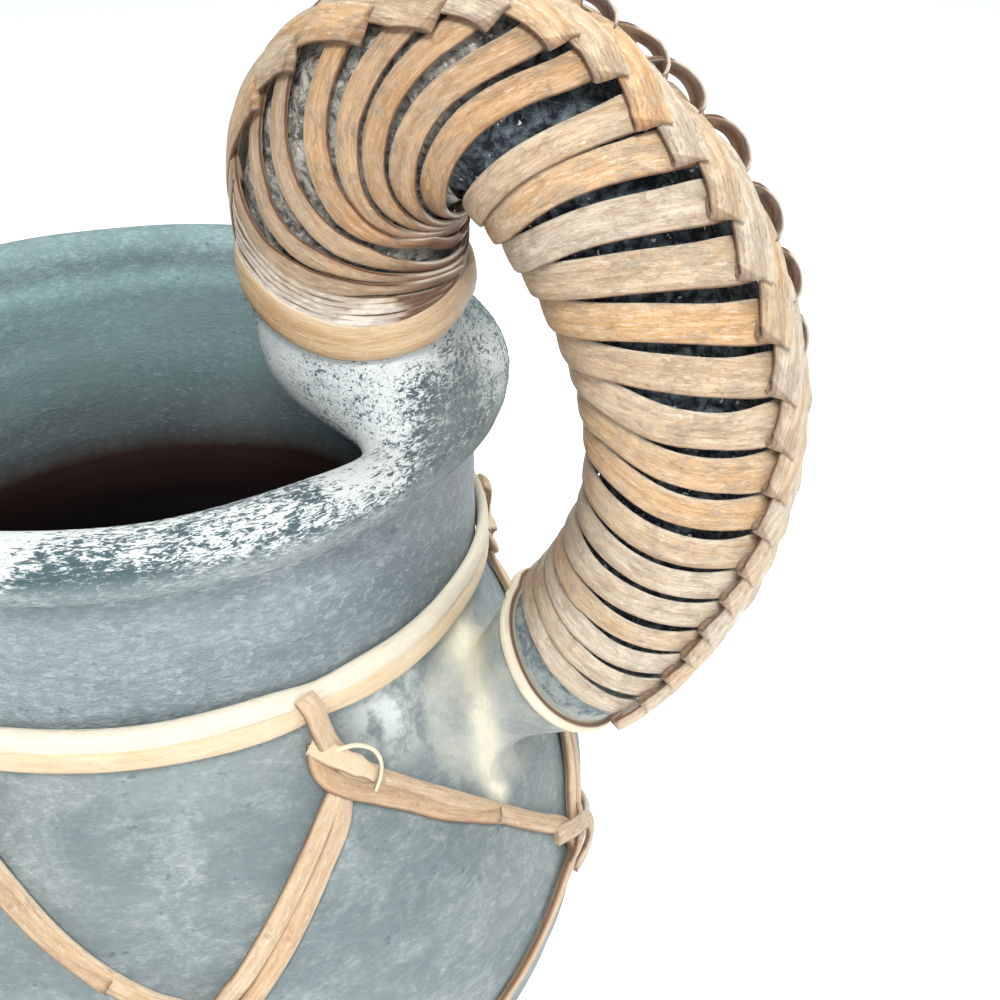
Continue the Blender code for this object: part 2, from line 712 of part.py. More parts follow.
def build_pitcher():
    for old in list(bpy.data.objects):
        bpy.data.objects.remove(old)
    build_jug()
    build_handle_core(build_luting_cutter())
    build_winding()
    build_whipping()
    build_lapped_ring("start_band", BAND_BACK, BAND_INSIDE, BAND_WIDTH, BAND_THICKNESS,
                      YELLOW_CANE)
    ring_place = HANDLE_LENGTH - END_RING_WIDTH / 2.0
    build_lapped_ring("end_ring", ring_place, ring_place, END_RING_WIDTH, END_RING_THICKNESS,
                      PALE_CANE)
    for index, finish in enumerate((YELLOW_CANE, PALE_CANE, TAN_CANE)):
        build_plait_strand(index, finish)
    build_net()


build_pitcher()
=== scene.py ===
"""Dressed model of the rattan wrapped pitcher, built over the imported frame."""
import bpy
import math
from math import cos, radians, sin
import numpy as np
from numpy.linalg import norm
from mathutils import Matrix, Vector, noise


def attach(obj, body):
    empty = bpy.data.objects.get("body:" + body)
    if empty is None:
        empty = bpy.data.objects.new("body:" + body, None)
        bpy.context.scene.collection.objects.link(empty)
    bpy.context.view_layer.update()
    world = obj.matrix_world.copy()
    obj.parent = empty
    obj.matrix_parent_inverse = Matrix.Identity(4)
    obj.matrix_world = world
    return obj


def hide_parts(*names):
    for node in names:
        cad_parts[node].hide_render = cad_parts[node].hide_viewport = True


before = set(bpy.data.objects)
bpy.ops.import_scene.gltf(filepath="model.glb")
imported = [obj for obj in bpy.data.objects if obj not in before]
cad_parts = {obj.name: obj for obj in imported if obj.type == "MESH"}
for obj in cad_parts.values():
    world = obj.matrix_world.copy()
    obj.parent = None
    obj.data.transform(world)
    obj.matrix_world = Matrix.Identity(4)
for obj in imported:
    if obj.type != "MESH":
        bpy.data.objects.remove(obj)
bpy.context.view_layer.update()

MM = 0.001

# The jug, in metres
LIP_Z, LIP_R, BEAD = 0.172, 0.0617, 0.0054
NECK_R, SHOULDER_Z = 0.0603, 0.137
BELLY_R, BELLY_Z, FOOT_R = 0.0818, 0.078, 0.046
BELLY_CURVE, SHOULDER_CURVE = 1.75, 1.08
WALL, FLOOR_T, FOOT_EDGE = 0.0056, 0.0075, 0.0012
# Inside, the paint stops at this height
BARE_Z = 0.134

# The handle's line: up a leg from the lip, round a tight crook and down a wide bow
LEG_X, LEG_Z, LEG, LEG_HEADING = 0.046, LIP_Z + 0.0153, 0.0182, radians(91.4)
CROOK_R, BOW_R = 0.0208, 0.0595
CROOK, BOW = CROOK_R * radians(131.9), BOW_R * radians(96.8)
HANDLE = LEG + CROOK + BOW
CORE_R, TAIL_R = 0.0161, 0.0132
NEAR = Vector((0.0, -1.0, 0.0))
# Between these places along it the turns stand open over a thinner core
OPEN_FROM, OPEN_TO, OPEN_EASE = 0.052, 0.112, 0.012
# How far the core shrinks under close and open turns, how far it leans to the near side and
# which share of that inward, and how deep the far turns sink
SHRINK, OPEN_SHRINK, LEAN, LEAN_IN, SINK = 0.0004, 0.0028, 0.0021, 0.55, 0.0034
# Thickness of the wound strip, and how far the clay lies back under it
STRIP, UNDER_STRIP = 0.0008, 0.0012

# Where each turn of the winding crosses the handle, in mm along it: beside the plait, on the
# near side, low on it, and inside the bend
BACK = (22.3, 30.0, 35.5, 43.0, 49.5, 54.2, 59.5, 63.8, 70.0, 75.0, 81.6, 88.6,
        95.9, 102.4, 108.8, 114.8, 120.3, 126.3, 131.3, 136.6, 141.8, 146.6, 152.6, 158.6)
SIDE = (15.2, 19.3, 25.8, 32.9, 39.1, 44.5, 50.8, 56.8, 65.6, 70.2, 76.9, 83.9,
        91.0, 98.4, 106.3, 112.9, 119.3, 126.1, 132.1, 137.9, 143.8, 149.0, 153.9, 158.6)
LOW = (12.8, 14.4, 17.0, 22.8, 27.4, 33.4, 40.2, 49.0, 62.9, 69.2, 75.1, 80.8,
       87.7, 94.8, 100.9, 108.1, 115.3, 124.2, 131.4, 138.5, 144.2, 148.8, 153.3, 157.6)
INSIDE = (11.6, 12.8, 14.2, 16.2, 18.4, 21.2, 25.0, 34.0, 60.0, 68.6, 74.3, 79.6,
          85.8, 92.2, 98.2, 105.2, 112.6, 121.5, 130.2, 137.5, 143.5, 148.0, 152.5, 157.0)
LAST_STEP = 4.5
# Width of each turn in mm, and its tone from bleached grey (0) to orange tan (1)
WIDTHS = (3.4, 3.5, 3.6, 3.9, 3.9, 4.0, 4.1, 4.3, 4.5, 4.9, 5.3, 5.6,
          5.5, 5.6, 5.5, 5.1, 4.8, 4.8, 4.4, 4.4, 3.9, 3.9, 3.9, 3.8)
TONES = (0.55, 0.6, 0.6, 0.9, 0.75, 0.85, 0.75, 0.95, 0.55, 0.8, 0.15, 0.5,
         1.0, 0.6, 0.45, 0.8, 0.85, 0.55, 0.15, 0.15, 0.6, 0.05, 0.2, 0.15)


# Shapes that the pieces follow

def mix(a, b, t):
    return a + (b - a) * t


def clamp(t):
    return min(1.0, max(0.0, t))


def ease(t):
    t = clamp(t)
    return t * t * (3.0 - 2.0 * t)


def hump(x, middle, reach):
    """1 at the middle, fading out on both sides."""
    return math.exp(-((x - middle) / reach) ** 2)


def through(places, values, x):
    """Smooth curve through the values at rising places, read at x."""
    i = min(max(int(np.searchsorted(places, x)) - 1, 0), len(places) - 2)
    span = places[i + 1] - places[i]

    def slope(k):
        low, high = max(k - 1, 0), min(k + 1, len(places) - 1)
        return (values[high] - values[low]) / (places[high] - places[low]) * span

    u = (x - places[i]) / span
    return (values[i] * (1.0 + 2.0 * u) * (1.0 - u) ** 2 + slope(i) * u * (1.0 - u) ** 2
            + values[i + 1] * (3.0 - 2.0 * u) * u * u - slope(i + 1) * u * u * (1.0 - u))


def wobble(x, seed):
    """Smooth irregular value along a line, between about -1 and 1."""
    return noise.noise(Vector((x, seed * 7.31, seed * 3.17))) * 1.6


def rolled(normal, ahead, angle):
    """The normal turned away from the way ahead."""
    return normal * cos(angle) - ahead * sin(angle)


def handle_line(s):
    """Middle of the handle a distance along it, the way ahead and the way out of its back."""
    heading = LEG_HEADING
    run = min(s, LEG)
    x, z = LEG_X + run * cos(heading), LEG_Z + run * sin(heading)
    rest = s - run
    for radius, length in ((CROOK_R, CROOK), (BOW_R, BOW)):
        run = min(max(rest, 0.0), length)
        turned = heading - run / radius
        x += radius * (sin(heading) - sin(turned))
        z += radius * (cos(turned) - cos(heading))
        heading, rest = turned, rest - run
    ahead = Vector((cos(heading), 0.0, sin(heading)))
    centre = Vector((x, 0.0, z)) + ahead * max(rest, 0.0)
    return centre, ahead, Vector((-ahead.z, 0.0, ahead.x))


def core_radius(s):
    return mix(CORE_R, TAIL_R, clamp((s - HANDLE / 2.0) / (HANDLE / 2.0)))


def slimmed(s):
    """How far the bare core shrinks under the cane, and how far it leans to the near side."""
    bow = ease((s - OPEN_FROM) / OPEN_EASE) * ease((HANDLE - 0.004 - s) / 0.03)
    thin = bow * mix(0.65, 1.0, ease((OPEN_TO - s) / 0.024))
    return mix(SHRINK, OPEN_SHRINK, thin), LEAN * thin


def sunk(s):
    """How deep the turns sink on the far side, where the plait's loops stand clear of them."""
    return SINK * ease((s - OPEN_FROM - MM) / OPEN_EASE) * ease((OPEN_TO - s) / 0.02)


def on_handle(s, angle, lift):
    """Point and outward normal: angle 0 is the handle's back, positive toward the near side."""
    centre, _, back = handle_line(s)
    normal = back * cos(angle) + NEAR * sin(angle)
    return centre + normal * (core_radius(s) + lift), normal


def body_radius(z):
    if z <= BELLY_Z:
        return BELLY_R - (BELLY_R - FOOT_R) * ((BELLY_Z - z) / BELLY_Z) ** BELLY_CURVE
    rise = min(1.0, (z - BELLY_Z) / (SHOULDER_Z - BELLY_Z)) ** SHOULDER_CURVE
    return mix(NECK_R, BELLY_R, (1.0 + cos(math.pi * rise)) / 2.0)


def body_normal(z):
    """The wall's normal at a height: its outward and its upward share."""
    step = 0.0014
    slope = (body_radius(z + step) - body_radius(z - step)) / (2.0 * step)
    size = math.hypot(1.0, slope)
    return 1.0 / size, -slope / size


def on_body(degrees, z, lift):
    """Point and outward normal on the jug's wall."""
    a = radians(degrees)
    out_r, out_z = body_normal(z)
    radius = body_radius(z) + out_r * lift
    return (Vector((cos(a) * radius, sin(a) * radius, z + out_z * lift)),
            Vector((cos(a) * out_r, sin(a) * out_r, out_z)))


# Making pieces

def circle(count):
    return tuple((cos(math.tau * i / count), sin(math.tau * i / count))
                 for i in range(count))


# Sections of a strand, in halves of its width and thickness
FLAT = ((-1.0, 0.0), (-0.97, 0.5), (-0.88, 0.8), (-0.45, 1.1), (0.0, 1.2), (0.45, 1.1),
        (0.88, 0.8), (0.97, 0.5), (1.0, 0.0), (0.88, -0.85), (0.0, -1.0), (-0.88, -0.85))
OVAL = tuple((x, math.copysign(abs(y) ** 0.8, y)) for x, y in circle(16))


def deselect():
    bpy.ops.object.select_all(action="DESELECT")


def read(items, what, size=3):
    values = np.empty(len(items) * size)
    items.foreach_get(what, values)
    return values.reshape(-1, size)


def unit(rows):
    return rows / norm(rows, axis=1)[:, None]


def length_to(points):
    """Length along each row of points, from its first to every other."""
    steps = norm(np.diff(points, axis=-2), axis=-1)
    return np.concatenate([np.zeros_like(steps[..., :1]), np.cumsum(steps, axis=-1)], axis=-1)


def swept(rows, ring, skew):
    """The ring carried along the rows, and the length along and round it."""
    centre = np.array([tuple(s[0]) for s in rows])
    normal = np.array([tuple(s[1]) for s in rows])
    half = np.array([s[2:4] for s in rows]) / 2.0
    along = unit(np.gradient(centre, axis=0))
    across = unit(np.cross(normal, along))
    out = np.cross(along, across)
    if skew is not None:
        across = across + along * np.array(skew)[:, None]
    place = (centre[:, None] + across[:, None] * (ring[None, :, 0] * half[:, :1])[..., None]
             + out[:, None] * (ring[None, :, 1] * half[:, 1:])[..., None])
    place = np.concatenate([place, place[:, :1]], axis=1)
    return place, length_to(centre), length_to(place)


def strand(name, rows, profile=FLAT, skew=None):
    """A closed strand: a grid rolled round (centre, normal, width, thickness, tone, ageing and
    painted shade) rows.
    """
    count, around, ring = len(rows), len(profile), np.array(profile)
    place, reach, girth = swept(rows, ring, skew)
    deselect()
    bpy.ops.mesh.primitive_grid_add(x_subdivisions=around, y_subdivisions=count - 1, size=1.0)
    made = bpy.context.object
    made.name = made.data.name = name
    mesh = made.data
    flat = read(mesh.vertices, "co")
    j = np.rint((flat[:, 0] + 0.5) * around).astype(int)
    i = np.rint((flat[:, 1] + 0.5) * (count - 1)).astype(int)
    mesh.vertices.foreach_set("co", place[i, j].ravel())
    shade = np.ones((len(flat), 4))
    shade[:, :2] = np.array([s[4:6] for s in rows])[i]
    # The blue channel marks the two rims: one edge for a pale cut edge with a painted highlight,
    # the other for painted shade
    side = ring[j % around, 0]
    rim = np.clip((np.abs(side) - 0.86) / 0.1, 0.0, 1.0)
    shade[:, 2] = 0.5 + 0.5 * np.sign(side) * rim
    layer = mesh.attributes.new("cane", "FLOAT_COLOR", "POINT")
    layer.data.foreach_set("color", shade.ravel())
    layer = mesh.uv_layers[0].data
    uv = read(layer, "uv", 2)
    j = np.rint(uv[:, 0] * around).astype(int)
    i = np.rint(uv[:, 1] * (count - 1)).astype(int)
    centimetres = np.stack([reach[i], girth[i, j]], axis=1).ravel() * 100.0
    layer.foreach_set("uv", centimetres)
    bpy.ops.object.mode_set(mode="EDIT")
    bpy.ops.mesh.select_all(action="SELECT")
    bpy.ops.mesh.remove_doubles(threshold=0.000001)
    bpy.ops.mesh.fill_holes(sides=0)
    bpy.ops.mesh.normals_make_consistent(inside=False)
    bpy.ops.object.mode_set(mode="OBJECT")
    bpy.ops.object.shade_smooth_by_angle(angle=radians(50.0))
    return made


def join(name, parts):
    deselect()
    for part in parts:
        part.select_set(True)
    bpy.context.view_layer.objects.active = parts[0]
    bpy.ops.object.join()
    made = bpy.context.object
    made.name = made.data.name = name
    return made


def raise_by(mesh, places, heights):
    """Move every vertex from its place along its normal."""
    moved = places + read(mesh.vertices, "normal") * heights[:, None]
    mesh.vertices.foreach_set("co", moved.ravel())


def dress(piece, finish, slot, *nodes):
    """Give a finished piece its material and body, and hide the nodes that it stands for. The slot
    is not used.
    """
    piece.data.materials.clear()
    piece.data.materials.append(finish)
    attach(piece, "root")
    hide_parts(*nodes)


# Shader building

class Shader:
    """A node tree being filled: add() places any node, the others common ones."""

    def __init__(self, tree):
        self.tree = tree
        tree.nodes.clear()

    def put(self, value, socket):
        """Link a socket to another, or set a value on it."""
        if isinstance(value, bpy.types.NodeSocket):
            self.tree.links.new(value, socket)
        elif socket.type == "RGBA":
            socket.default_value = (*value, 1.0)
        else:
            socket.default_value = value

    def add(self, kind, ins=None, **settings):
        made = self.tree.nodes.new(kind)
        for key, value in settings.items():
            setattr(made, key, value)
        for key, value in (ins or {}).items():
            self.put(value, made.inputs[key])
        return made

    def math(self, operation, a, b=0.0, clamp=False):
        return self.add("ShaderNodeMath", {0: a, 1: b}, operation=operation,
                        use_clamp=clamp).outputs[0]

    def plus(self, a, b, clamp=False):
        return self.math("ADD", a, b, clamp)

    def minus(self, a, b):
        return self.math("SUBTRACT", a, b)

    def times(self, a, b, clamp=False):
        return self.math("MULTIPLY", a, b, clamp)

    def fade(self, value, low, high, out_low=0.0, out_high=1.0):
        return self.add("ShaderNodeMapRange", {
            "Value": value, "From Min": low, "From Max": high, "To Min": out_low,
            "To Max": out_high}, interpolation_type="SMOOTHSTEP").outputs["Result"]

    def mix(self, mask, a, b, blend="MIX"):
        return self.add("ShaderNodeMix", {0: mask, 6: a, 7: b}, data_type="RGBA",
                        blend_type=blend).outputs[2]

    def coat(self, base, *layers):
        """Lay colours over the base in turn, each through its own mask."""
        for mask, colour, *blend in layers:
            base = self.mix(mask, base, colour, *blend)
        return base

    def noise(self, vector, scale, detail=3.0, rough=0.55, distort=0.0):
        return self.add("ShaderNodeTexNoise", {
            "Vector": vector, "Scale": scale, "Detail": detail, "Roughness": rough,
            "Distortion": distort}).outputs["Fac"]

    def stretch(self, vector, scale, shift=(0.0, 0.0, 0.0)):
        return self.add("ShaderNodeMapping", {
            "Vector": vector, "Scale": scale, "Location": shift}).outputs[0]

    def place(self):
        return self.add("ShaderNodeTexCoord").outputs["Object"]

    def channels(self, attribute):
        colour = self.add("ShaderNodeAttribute", attribute_name=attribute).outputs["Color"]
        return self.add("ShaderNodeSeparateColor", {"Color": colour}).outputs

    def surface(self, base, rough, height, distance, strength, specular):
        """End the tree in a Principled surface, raised by the height."""
        bump = self.add("ShaderNodeBump", {
            "Height": height, "Distance": distance, "Strength": strength})
        shader = self.add("ShaderNodeBsdfPrincipled", {
            "Base Color": base, "Roughness": rough, "Normal": bump.outputs[0],
            "Specular IOR Level": specular})
        self.add("ShaderNodeOutputMaterial", {0: shader.outputs[0]})


def new_finish(name):
    finish = bpy.data.materials.new(name)
    finish.use_nodes = True
    return finish, Shader(finish.node_tree)


# Cane

def make_fibre_group():
    """Lengthwise fibres of split cane: streaks, pores, specks, worn patches and a height."""
    tree = bpy.data.node_groups.new("cane_fibres", "ShaderNodeTree")
    tree.interface.new_socket("Vector", in_out="INPUT", socket_type="NodeSocketVector")
    tree.interface.new_socket("Wear", in_out="INPUT", socket_type="NodeSocketFloat")
    for socket in ("Streaks", "Pores", "Worn", "Specks", "Height"):
        tree.interface.new_socket(socket, in_out="OUTPUT", socket_type="NodeSocketFloat")
    g = Shader(tree)
    given = g.add("NodeGroupInput").outputs

    def fibre(along, across, *look, shift=(0.0, 0.0, 0.0)):
        return g.noise(g.stretch(given["Vector"], (along, across, 1.0), shift), 1.0, *look)

    broad, fine = fibre(0.7, 9.0, 3.0, 0.6, 0.3), fibre(2.2, 26.0, 5.0, 0.75, 0.3)
    hair, pores = fibre(6.0, 150.0, 2.0, 0.5), fibre(11.0, 60.0, 2.0, 0.5)
    specks = fibre(9.0, 46.0, 2.0, 0.6, shift=(3.0, 7.0, 0.0))
    patch = g.plus(fibre(2.4, 4.2, 6.0, 0.75, 0.8), g.times(fine, 0.25))
    limit = g.minus(0.8, g.times(given["Wear"], 0.36))
    worn = g.times(g.minus(patch, limit), 6.0, True)
    rough = g.plus(g.times(fine, 0.6), g.times(hair, 0.4))
    g.add("NodeGroupOutput", {
        "Streaks": g.fade(g.plus(g.times(broad, 0.5), g.times(fine, 0.5)), 0.36, 0.64),
        "Pores": g.fade(pores, 0.64, 0.72), "Worn": worn, "Specks": g.fade(specks, 0.66, 0.71),
        "Height": g.plus(rough, g.times(worn, g.times(hair, 0.8)))})
    return tree


FIBRES = make_fibre_group()

# Colours of the cane's marks, its rims, and its darkening for ageing and painted shade
STREAK, SHINE, SCUFF = (0.36, 0.18, 0.07), (1.0, 0.86, 0.64), (0.68, 0.6, 0.49)
STAIN, BLEACH = (0.38, 0.21, 0.1), (0.96, 0.89, 0.75)
PORE, SPECK = (0.22, 0.13, 0.07), (0.92, 0.86, 0.76)
PALE_RIM_AND_HIGHLIGHT, DARK_RIM_SHADE, OLD_RIM = (0.92, 0.84, 0.68), (0.17, 0.08, 0.04), (0.8, 0.7, 0.56)
AGED_AND_SHADED, DEEPER_AGED_AND_SHADED = (0.42, 0.28, 0.2), (0.34, 0.2, 0.13)


def make_cane(name, grey, beige, tan, wear, rough, spots):
    """Split cane, coloured by the strand's own tone (red), darkening for ageing and painted shade
    (green) and rim (blue).
    """
    finish, m = new_finish(name)
    uv = m.add("ShaderNodeUVMap").outputs[0]
    tone, age_and_shade, rim = m.channels("cane")
    fibres = m.add("ShaderNodeGroup", {"Vector": uv, "Wear": wear}, node_tree=FIBRES).outputs
    streaks, worn = fibres["Streaks"], fibres["Worn"]
    cloud = m.noise(m.place(), 110.0, 4.0, 0.65)
    toned = m.plus(tone, m.times(m.minus(cloud, 0.5), 0.75), True)
    stain = m.fade(m.noise(m.stretch(uv, (3.5, 13.0, 1.0)), 1.0, 5.0, 0.75), 0.53, 0.68)
    bleach = m.fade(m.noise(m.stretch(uv, (4.5, 20.0, 1.0), (5.0, 2.0, 0.0)), 1.0, 5.0, 0.75),
                    0.53, 0.66)
    # Rims: the upper edge is a pale cut edge with a painted highlight, the lower edge gets painted
    # shade
    upper = m.times(m.minus(rim, 0.5), 2.0, True)
    lower = m.times(m.minus(0.5, rim), 2.0, True)
    edge = m.times(m.math("ABSOLUTE", m.minus(rim, 0.5)), 2.0)
    base = m.coat(
        m.mix(m.fade(toned, 0.0, 0.5), grey, beige),
        (m.fade(toned, 0.5, 1.0), tan),
        (m.times(m.minus(1.0, streaks), 0.5 * spots), STREAK),
        (m.times(streaks, 0.3), SHINE),
        (m.times(worn, 0.5 * spots), SCUFF),
        (m.times(stain, 0.6 * spots), STAIN),
        (m.times(bleach, 0.6 * spots), BLEACH),
        (m.times(fibres["Pores"], 0.45 * spots), PORE),
        (m.times(fibres["Specks"], 0.7), SPECK),
        (m.times(upper, m.fade(cloud, 0.3, 0.7, 0.3, 0.95)), PALE_RIM_AND_HIGHLIGHT),
        (m.times(lower, 0.95), DARK_RIM_SHADE),
        # Green channel darkening: partly the cane's ageing, partly painted shade on insides,
        # undersides and under other strands; the rims keep a pale cut edge over it
        (m.times(age_and_shade, 0.85), AGED_AND_SHADED, "MULTIPLY"),
        (m.fade(age_and_shade, 0.5, 1.0, 0.0, 0.9), DEEPER_AGED_AND_SHADED, "MULTIPLY"),
        (m.times(m.fade(age_and_shade, 0.5, 0.9), edge), OLD_RIM))
    m.surface(base, m.plus(rough, m.times(worn, 0.25), True), fibres["Height"], 0.00045, 0.9, 0.5)
    return finish


# Colours at tone 0, 0.5 and 1, wear, roughness and strength of the marks
TAN = make_cane("tan_cane", (0.7, 0.62, 0.5), (0.69, 0.51, 0.32), (0.8, 0.45, 0.18),
                0.45, 0.4, 1.0)
PALE = make_cane("pale_cane", (1.0, 0.93, 0.76), (0.92, 0.8, 0.58), (0.84, 0.62, 0.36),
                 0.15, 0.6, 0.3)
YELLOW = make_cane("yellow_cane", (0.8, 0.68, 0.5), (0.76, 0.58, 0.38), (0.72, 0.46, 0.25),
                   0.25, 0.5, 0.7)
BAND = make_cane("band_cane", (0.72, 0.57, 0.36), (0.64, 0.42, 0.21), (0.54, 0.29, 0.11),
                 0.15, 0.3, 0.5)
SPLIT = make_cane("split_cane", (1.0, 0.95, 0.88), (0.72, 0.6, 0.46), (0.27, 0.13, 0.05),
                  0.5, 0.36, 0.8)


# Clay

# Colours of the paint, its wear and the bare clay, with painted shade on the neck under the lip
# and deep inside the jug
DEEP_PAINT, PAINT, PALE_PAINT = (0.18, 0.224, 0.226), (0.28, 0.324, 0.316), (0.42, 0.47, 0.46)
GREENISH, SHADED_DEEP_TEAL, TEAL = (0.27, 0.35, 0.32), (0.05, 0.085, 0.09), (0.21, 0.36, 0.36)
SHADED_NECK_DEEP, SHADED_NECK_PAINT = (0.13, 0.18, 0.2), (0.27, 0.33, 0.35)
PIT, DUST_AND_GLINTS, CHIP = (0.13, 0.18, 0.2), (0.7, 0.75, 0.75), (0.09, 0.13, 0.14)
INK, WHITE, PATCH = (0.03, 0.075, 0.095), (0.76, 0.81, 0.8), (0.66, 0.71, 0.69)
CREAM, HAND_GREY = (0.88, 0.84, 0.66), (0.55, 0.53, 0.45)
SHADED_BARE_CLAY, RUST_CLAY = (0.004, 0.003, 0.004), (0.05, 0.02, 0.014)


def paint_coats(m, place, z, brushed, mottle, teal, neck):
    """The paint before wear: clouded blue-grey, teal inside and darker lower down as painted
    shade, and darker at the neck as painted shade under the lip.
    """
    green = m.fade(m.noise(place, 26.0, 3.0, 0.5), 0.5, 0.75)
    return m.coat(
        m.mix(m.fade(brushed, 0.34, 0.66), DEEP_PAINT, PAINT),
        (m.times(m.fade(mottle, 0.42, 0.68), 0.4), PALE_PAINT),
        (m.times(green, 0.35), GREENISH),
        # Teal inside, darker lower down as painted shade in the jug's depth
        (m.times(teal, m.fade(mottle, 0.3, 0.8, 0.55, 0.95)),
         m.mix(m.fade(z, BARE_Z + 0.001, BARE_Z + 0.024), SHADED_DEEP_TEAL, TEAL)),
        # The neck is darkened as painted shade under the lip, its brush marks showing through
        (m.times(neck, 0.85), m.mix(m.fade(brushed, 0.36, 0.62), SHADED_NECK_DEEP, SHADED_NECK_PAINT)))


def wear_masks(m, unrolled, z, strokes, worn):
    """Where light strokes show through the paint, and dark ones between them."""
    patchy = m.noise(m.stretch(unrolled, (0.6, 1.0, 1.0), (0.013, 0.0, 0.02)), 62.0, 4.0, 0.6)
    shown = m.plus(m.times(worn, 0.15), m.times(m.minus(patchy, 0.5), 0.6))
    # More wear shows on the lip's top and less under it: partly rubbing, partly painted light on
    # the top and painted shade under it
    shown = m.plus(shown, m.fade(z, LIP_Z - 0.002, LIP_Z + 0.009, -0.05, 0.06))
    white = m.fade(m.plus(strokes, shown), 0.58, 0.68)
    white = m.times(white, m.times(m.minus(worn, 0.04), 1.4, True))
    dark = m.fade(m.minus(strokes, m.times(m.minus(0.5, patchy), 0.5)), 0.53, 0.43)
    return white, m.times(dark, m.times(worn, 1.2, True))


def make_clay():
    """Worn blue-grey paint over fired clay, bare and dark inside the jug."""
    finish, m = new_finish("worn_painted_clay")
    place = m.place()
    x, y, z = m.add("ShaderNodeSeparateXYZ", {0: place}).outputs
    reach = m.math("SQRT", m.plus(m.times(x, x), m.times(y, y)))
    arc = m.times(m.math("ARCTAN2", y, x), 0.065)
    unrolled = m.add("ShaderNodeCombineXYZ", {0: arc, 1: reach, 2: z}).outputs[0]
    bare, worn, smear = m.channels("marks")
    grip, teal, patch = m.channels("areas")
    wheel_marks = m.stretch(unrolled, (0.3, 1.0, 1.0))
    brushed = m.noise(wheel_marks, 42.0, 5.0, 0.62, 0.5)
    mottle = m.noise(place, 95.0, 6.0, 0.68, 0.5)
    grain = m.noise(wheel_marks, 2300.0, 3.0, 0.6, 1.2)
    grit = m.noise(m.stretch(unrolled, (0.6, 1.0, 1.0)), 800.0, 5.0, 0.7, 0.5)
    neck = m.times(m.fade(z, SHOULDER_Z - 0.001, SHOULDER_Z + 0.009),
                   m.fade(z, LIP_Z - 0.002, LIP_Z - 0.008))
    neck = m.times(neck, m.fade(reach, 0.054, 0.058))
    # Dark pits and light dust marks, strengthened on the neck, where the light marks also serve as
    # painted glints
    soft = m.times(m.minus(m.plus(grit, m.times(grain, 0.6)), 0.8),
                   m.plus(m.fade(mottle, 0.35, 0.65, 0.2, 1.2), m.times(neck, 0.9)))
    chips = m.noise(m.stretch(place, (1.0, 1.0, 1.4), (0.4, 0.2, 0.1)), 330.0, 2.0, 0.6)
    strokes = m.plus(m.times(grain, 0.65), m.times(grit, 0.35))
    white, dark = wear_masks(m, unrolled, z, strokes, worn)
    cream = m.fade(m.noise(place, 150.0, 5.0, 0.65), 0.25, 0.55, 0.6, 1.25)
    clouds = m.fade(m.noise(place, 150.0, 6.0, 0.7), 0.38, 0.58)
    base = m.coat(
        paint_coats(m, place, z, brushed, mottle, teal, neck),
        (m.times(m.times(soft, -1.0, True), 0.9), PIT),
        # Light dust marks; on the neck they are also painted glints
        (m.times(m.times(soft, 1.0, True), 0.9), DUST_AND_GLINTS),
        (m.times(m.fade(chips, 0.68, 0.73), 0.55), CHIP),
        (m.times(dark, 0.85), INK),
        (m.times(white, 0.92), WHITE),
        (m.times(smear, cream, True), CREAM),
        (m.times(patch, clouds), PATCH),
        (m.times(grip, m.fade(mottle, 0.3, 0.6, 0.1, 0.5)), HAND_GREY),
        # Bare clay inside: rust at the paint line, near black lower down as painted shade in the
        # jug's depth
        (bare, m.mix(m.fade(z, BARE_Z - 0.034, BARE_Z), SHADED_BARE_CLAY, RUST_CLAY)))
    rough = m.plus(m.plus(m.times(worn, 0.7), m.times(neck, 0.7)), 0.3, True)
    bumps = m.plus(m.times(strokes, rough), m.times(grit, m.times(rough, 0.6)))
    m.surface(base, m.minus(0.8, m.times(neck, 0.38)), bumps, 0.0007, 0.8, 0.45)
    return finish


def make_rough_core():
    """The handle between the turns: grey and fibrous on the leg, dark paint after the crook, light
    flecks painted as glints.
    """
    finish, m = new_finish("rough_dark_clay")
    place = m.place()
    pale, painted, _ = m.channels("cane")
    lumps = m.noise(place, 420.0, 6.0, 0.75, 0.6)
    grain = m.noise(place, 1300.0, 3.0, 0.7, 0.8)
    glint_flecks = m.fade(m.noise(place, 900.0, 2.0, 0.5), 0.68, 0.71)
    base = m.coat(
        m.mix(m.fade(lumps, 0.4, 0.66), (0.01, 0.014, 0.02), (0.2, 0.25, 0.27)),
        (pale, m.mix(m.fade(lumps, 0.38, 0.64), (0.1, 0.095, 0.085), (0.66, 0.63, 0.56))),
        # Light flecks: painted glints on the lumpy clay
        (glint_flecks, (0.85, 0.88, 0.88)),
        (painted, m.mix(m.fade(lumps, 0.35, 0.62), (0.15, 0.2, 0.22), (0.42, 0.46, 0.44))))
    m.surface(base, 0.75, m.plus(lumps, m.times(grain, 0.6)), 0.0009, 1.0, 0.3)
    return finish


def jug_outline():
    """Half the section: foot, wall, rolled lip, and down inside to the floor."""
    outer = [(FOOT_R - FOOT_EDGE, 0.0)]
    outer += [(body_radius(z), z) for z in np.linspace(FOOT_EDGE, LIP_Z - BEAD, 46)]
    lip = [(LIP_R + BEAD * cos(a), LIP_Z + BEAD * sin(a))
           for a in np.radians(np.linspace(-48.0, 200.0, 15))]
    inner = []
    for z in np.linspace(LIP_Z - BEAD, FLOOR_T + WALL, 34):
        out_r, out_z = body_normal(z)
        inner.append((body_radius(z) - WALL * out_r, z - WALL * out_z))
    return outer + lip + inner + [(inner[-1][0] - WALL, FLOOR_T)]


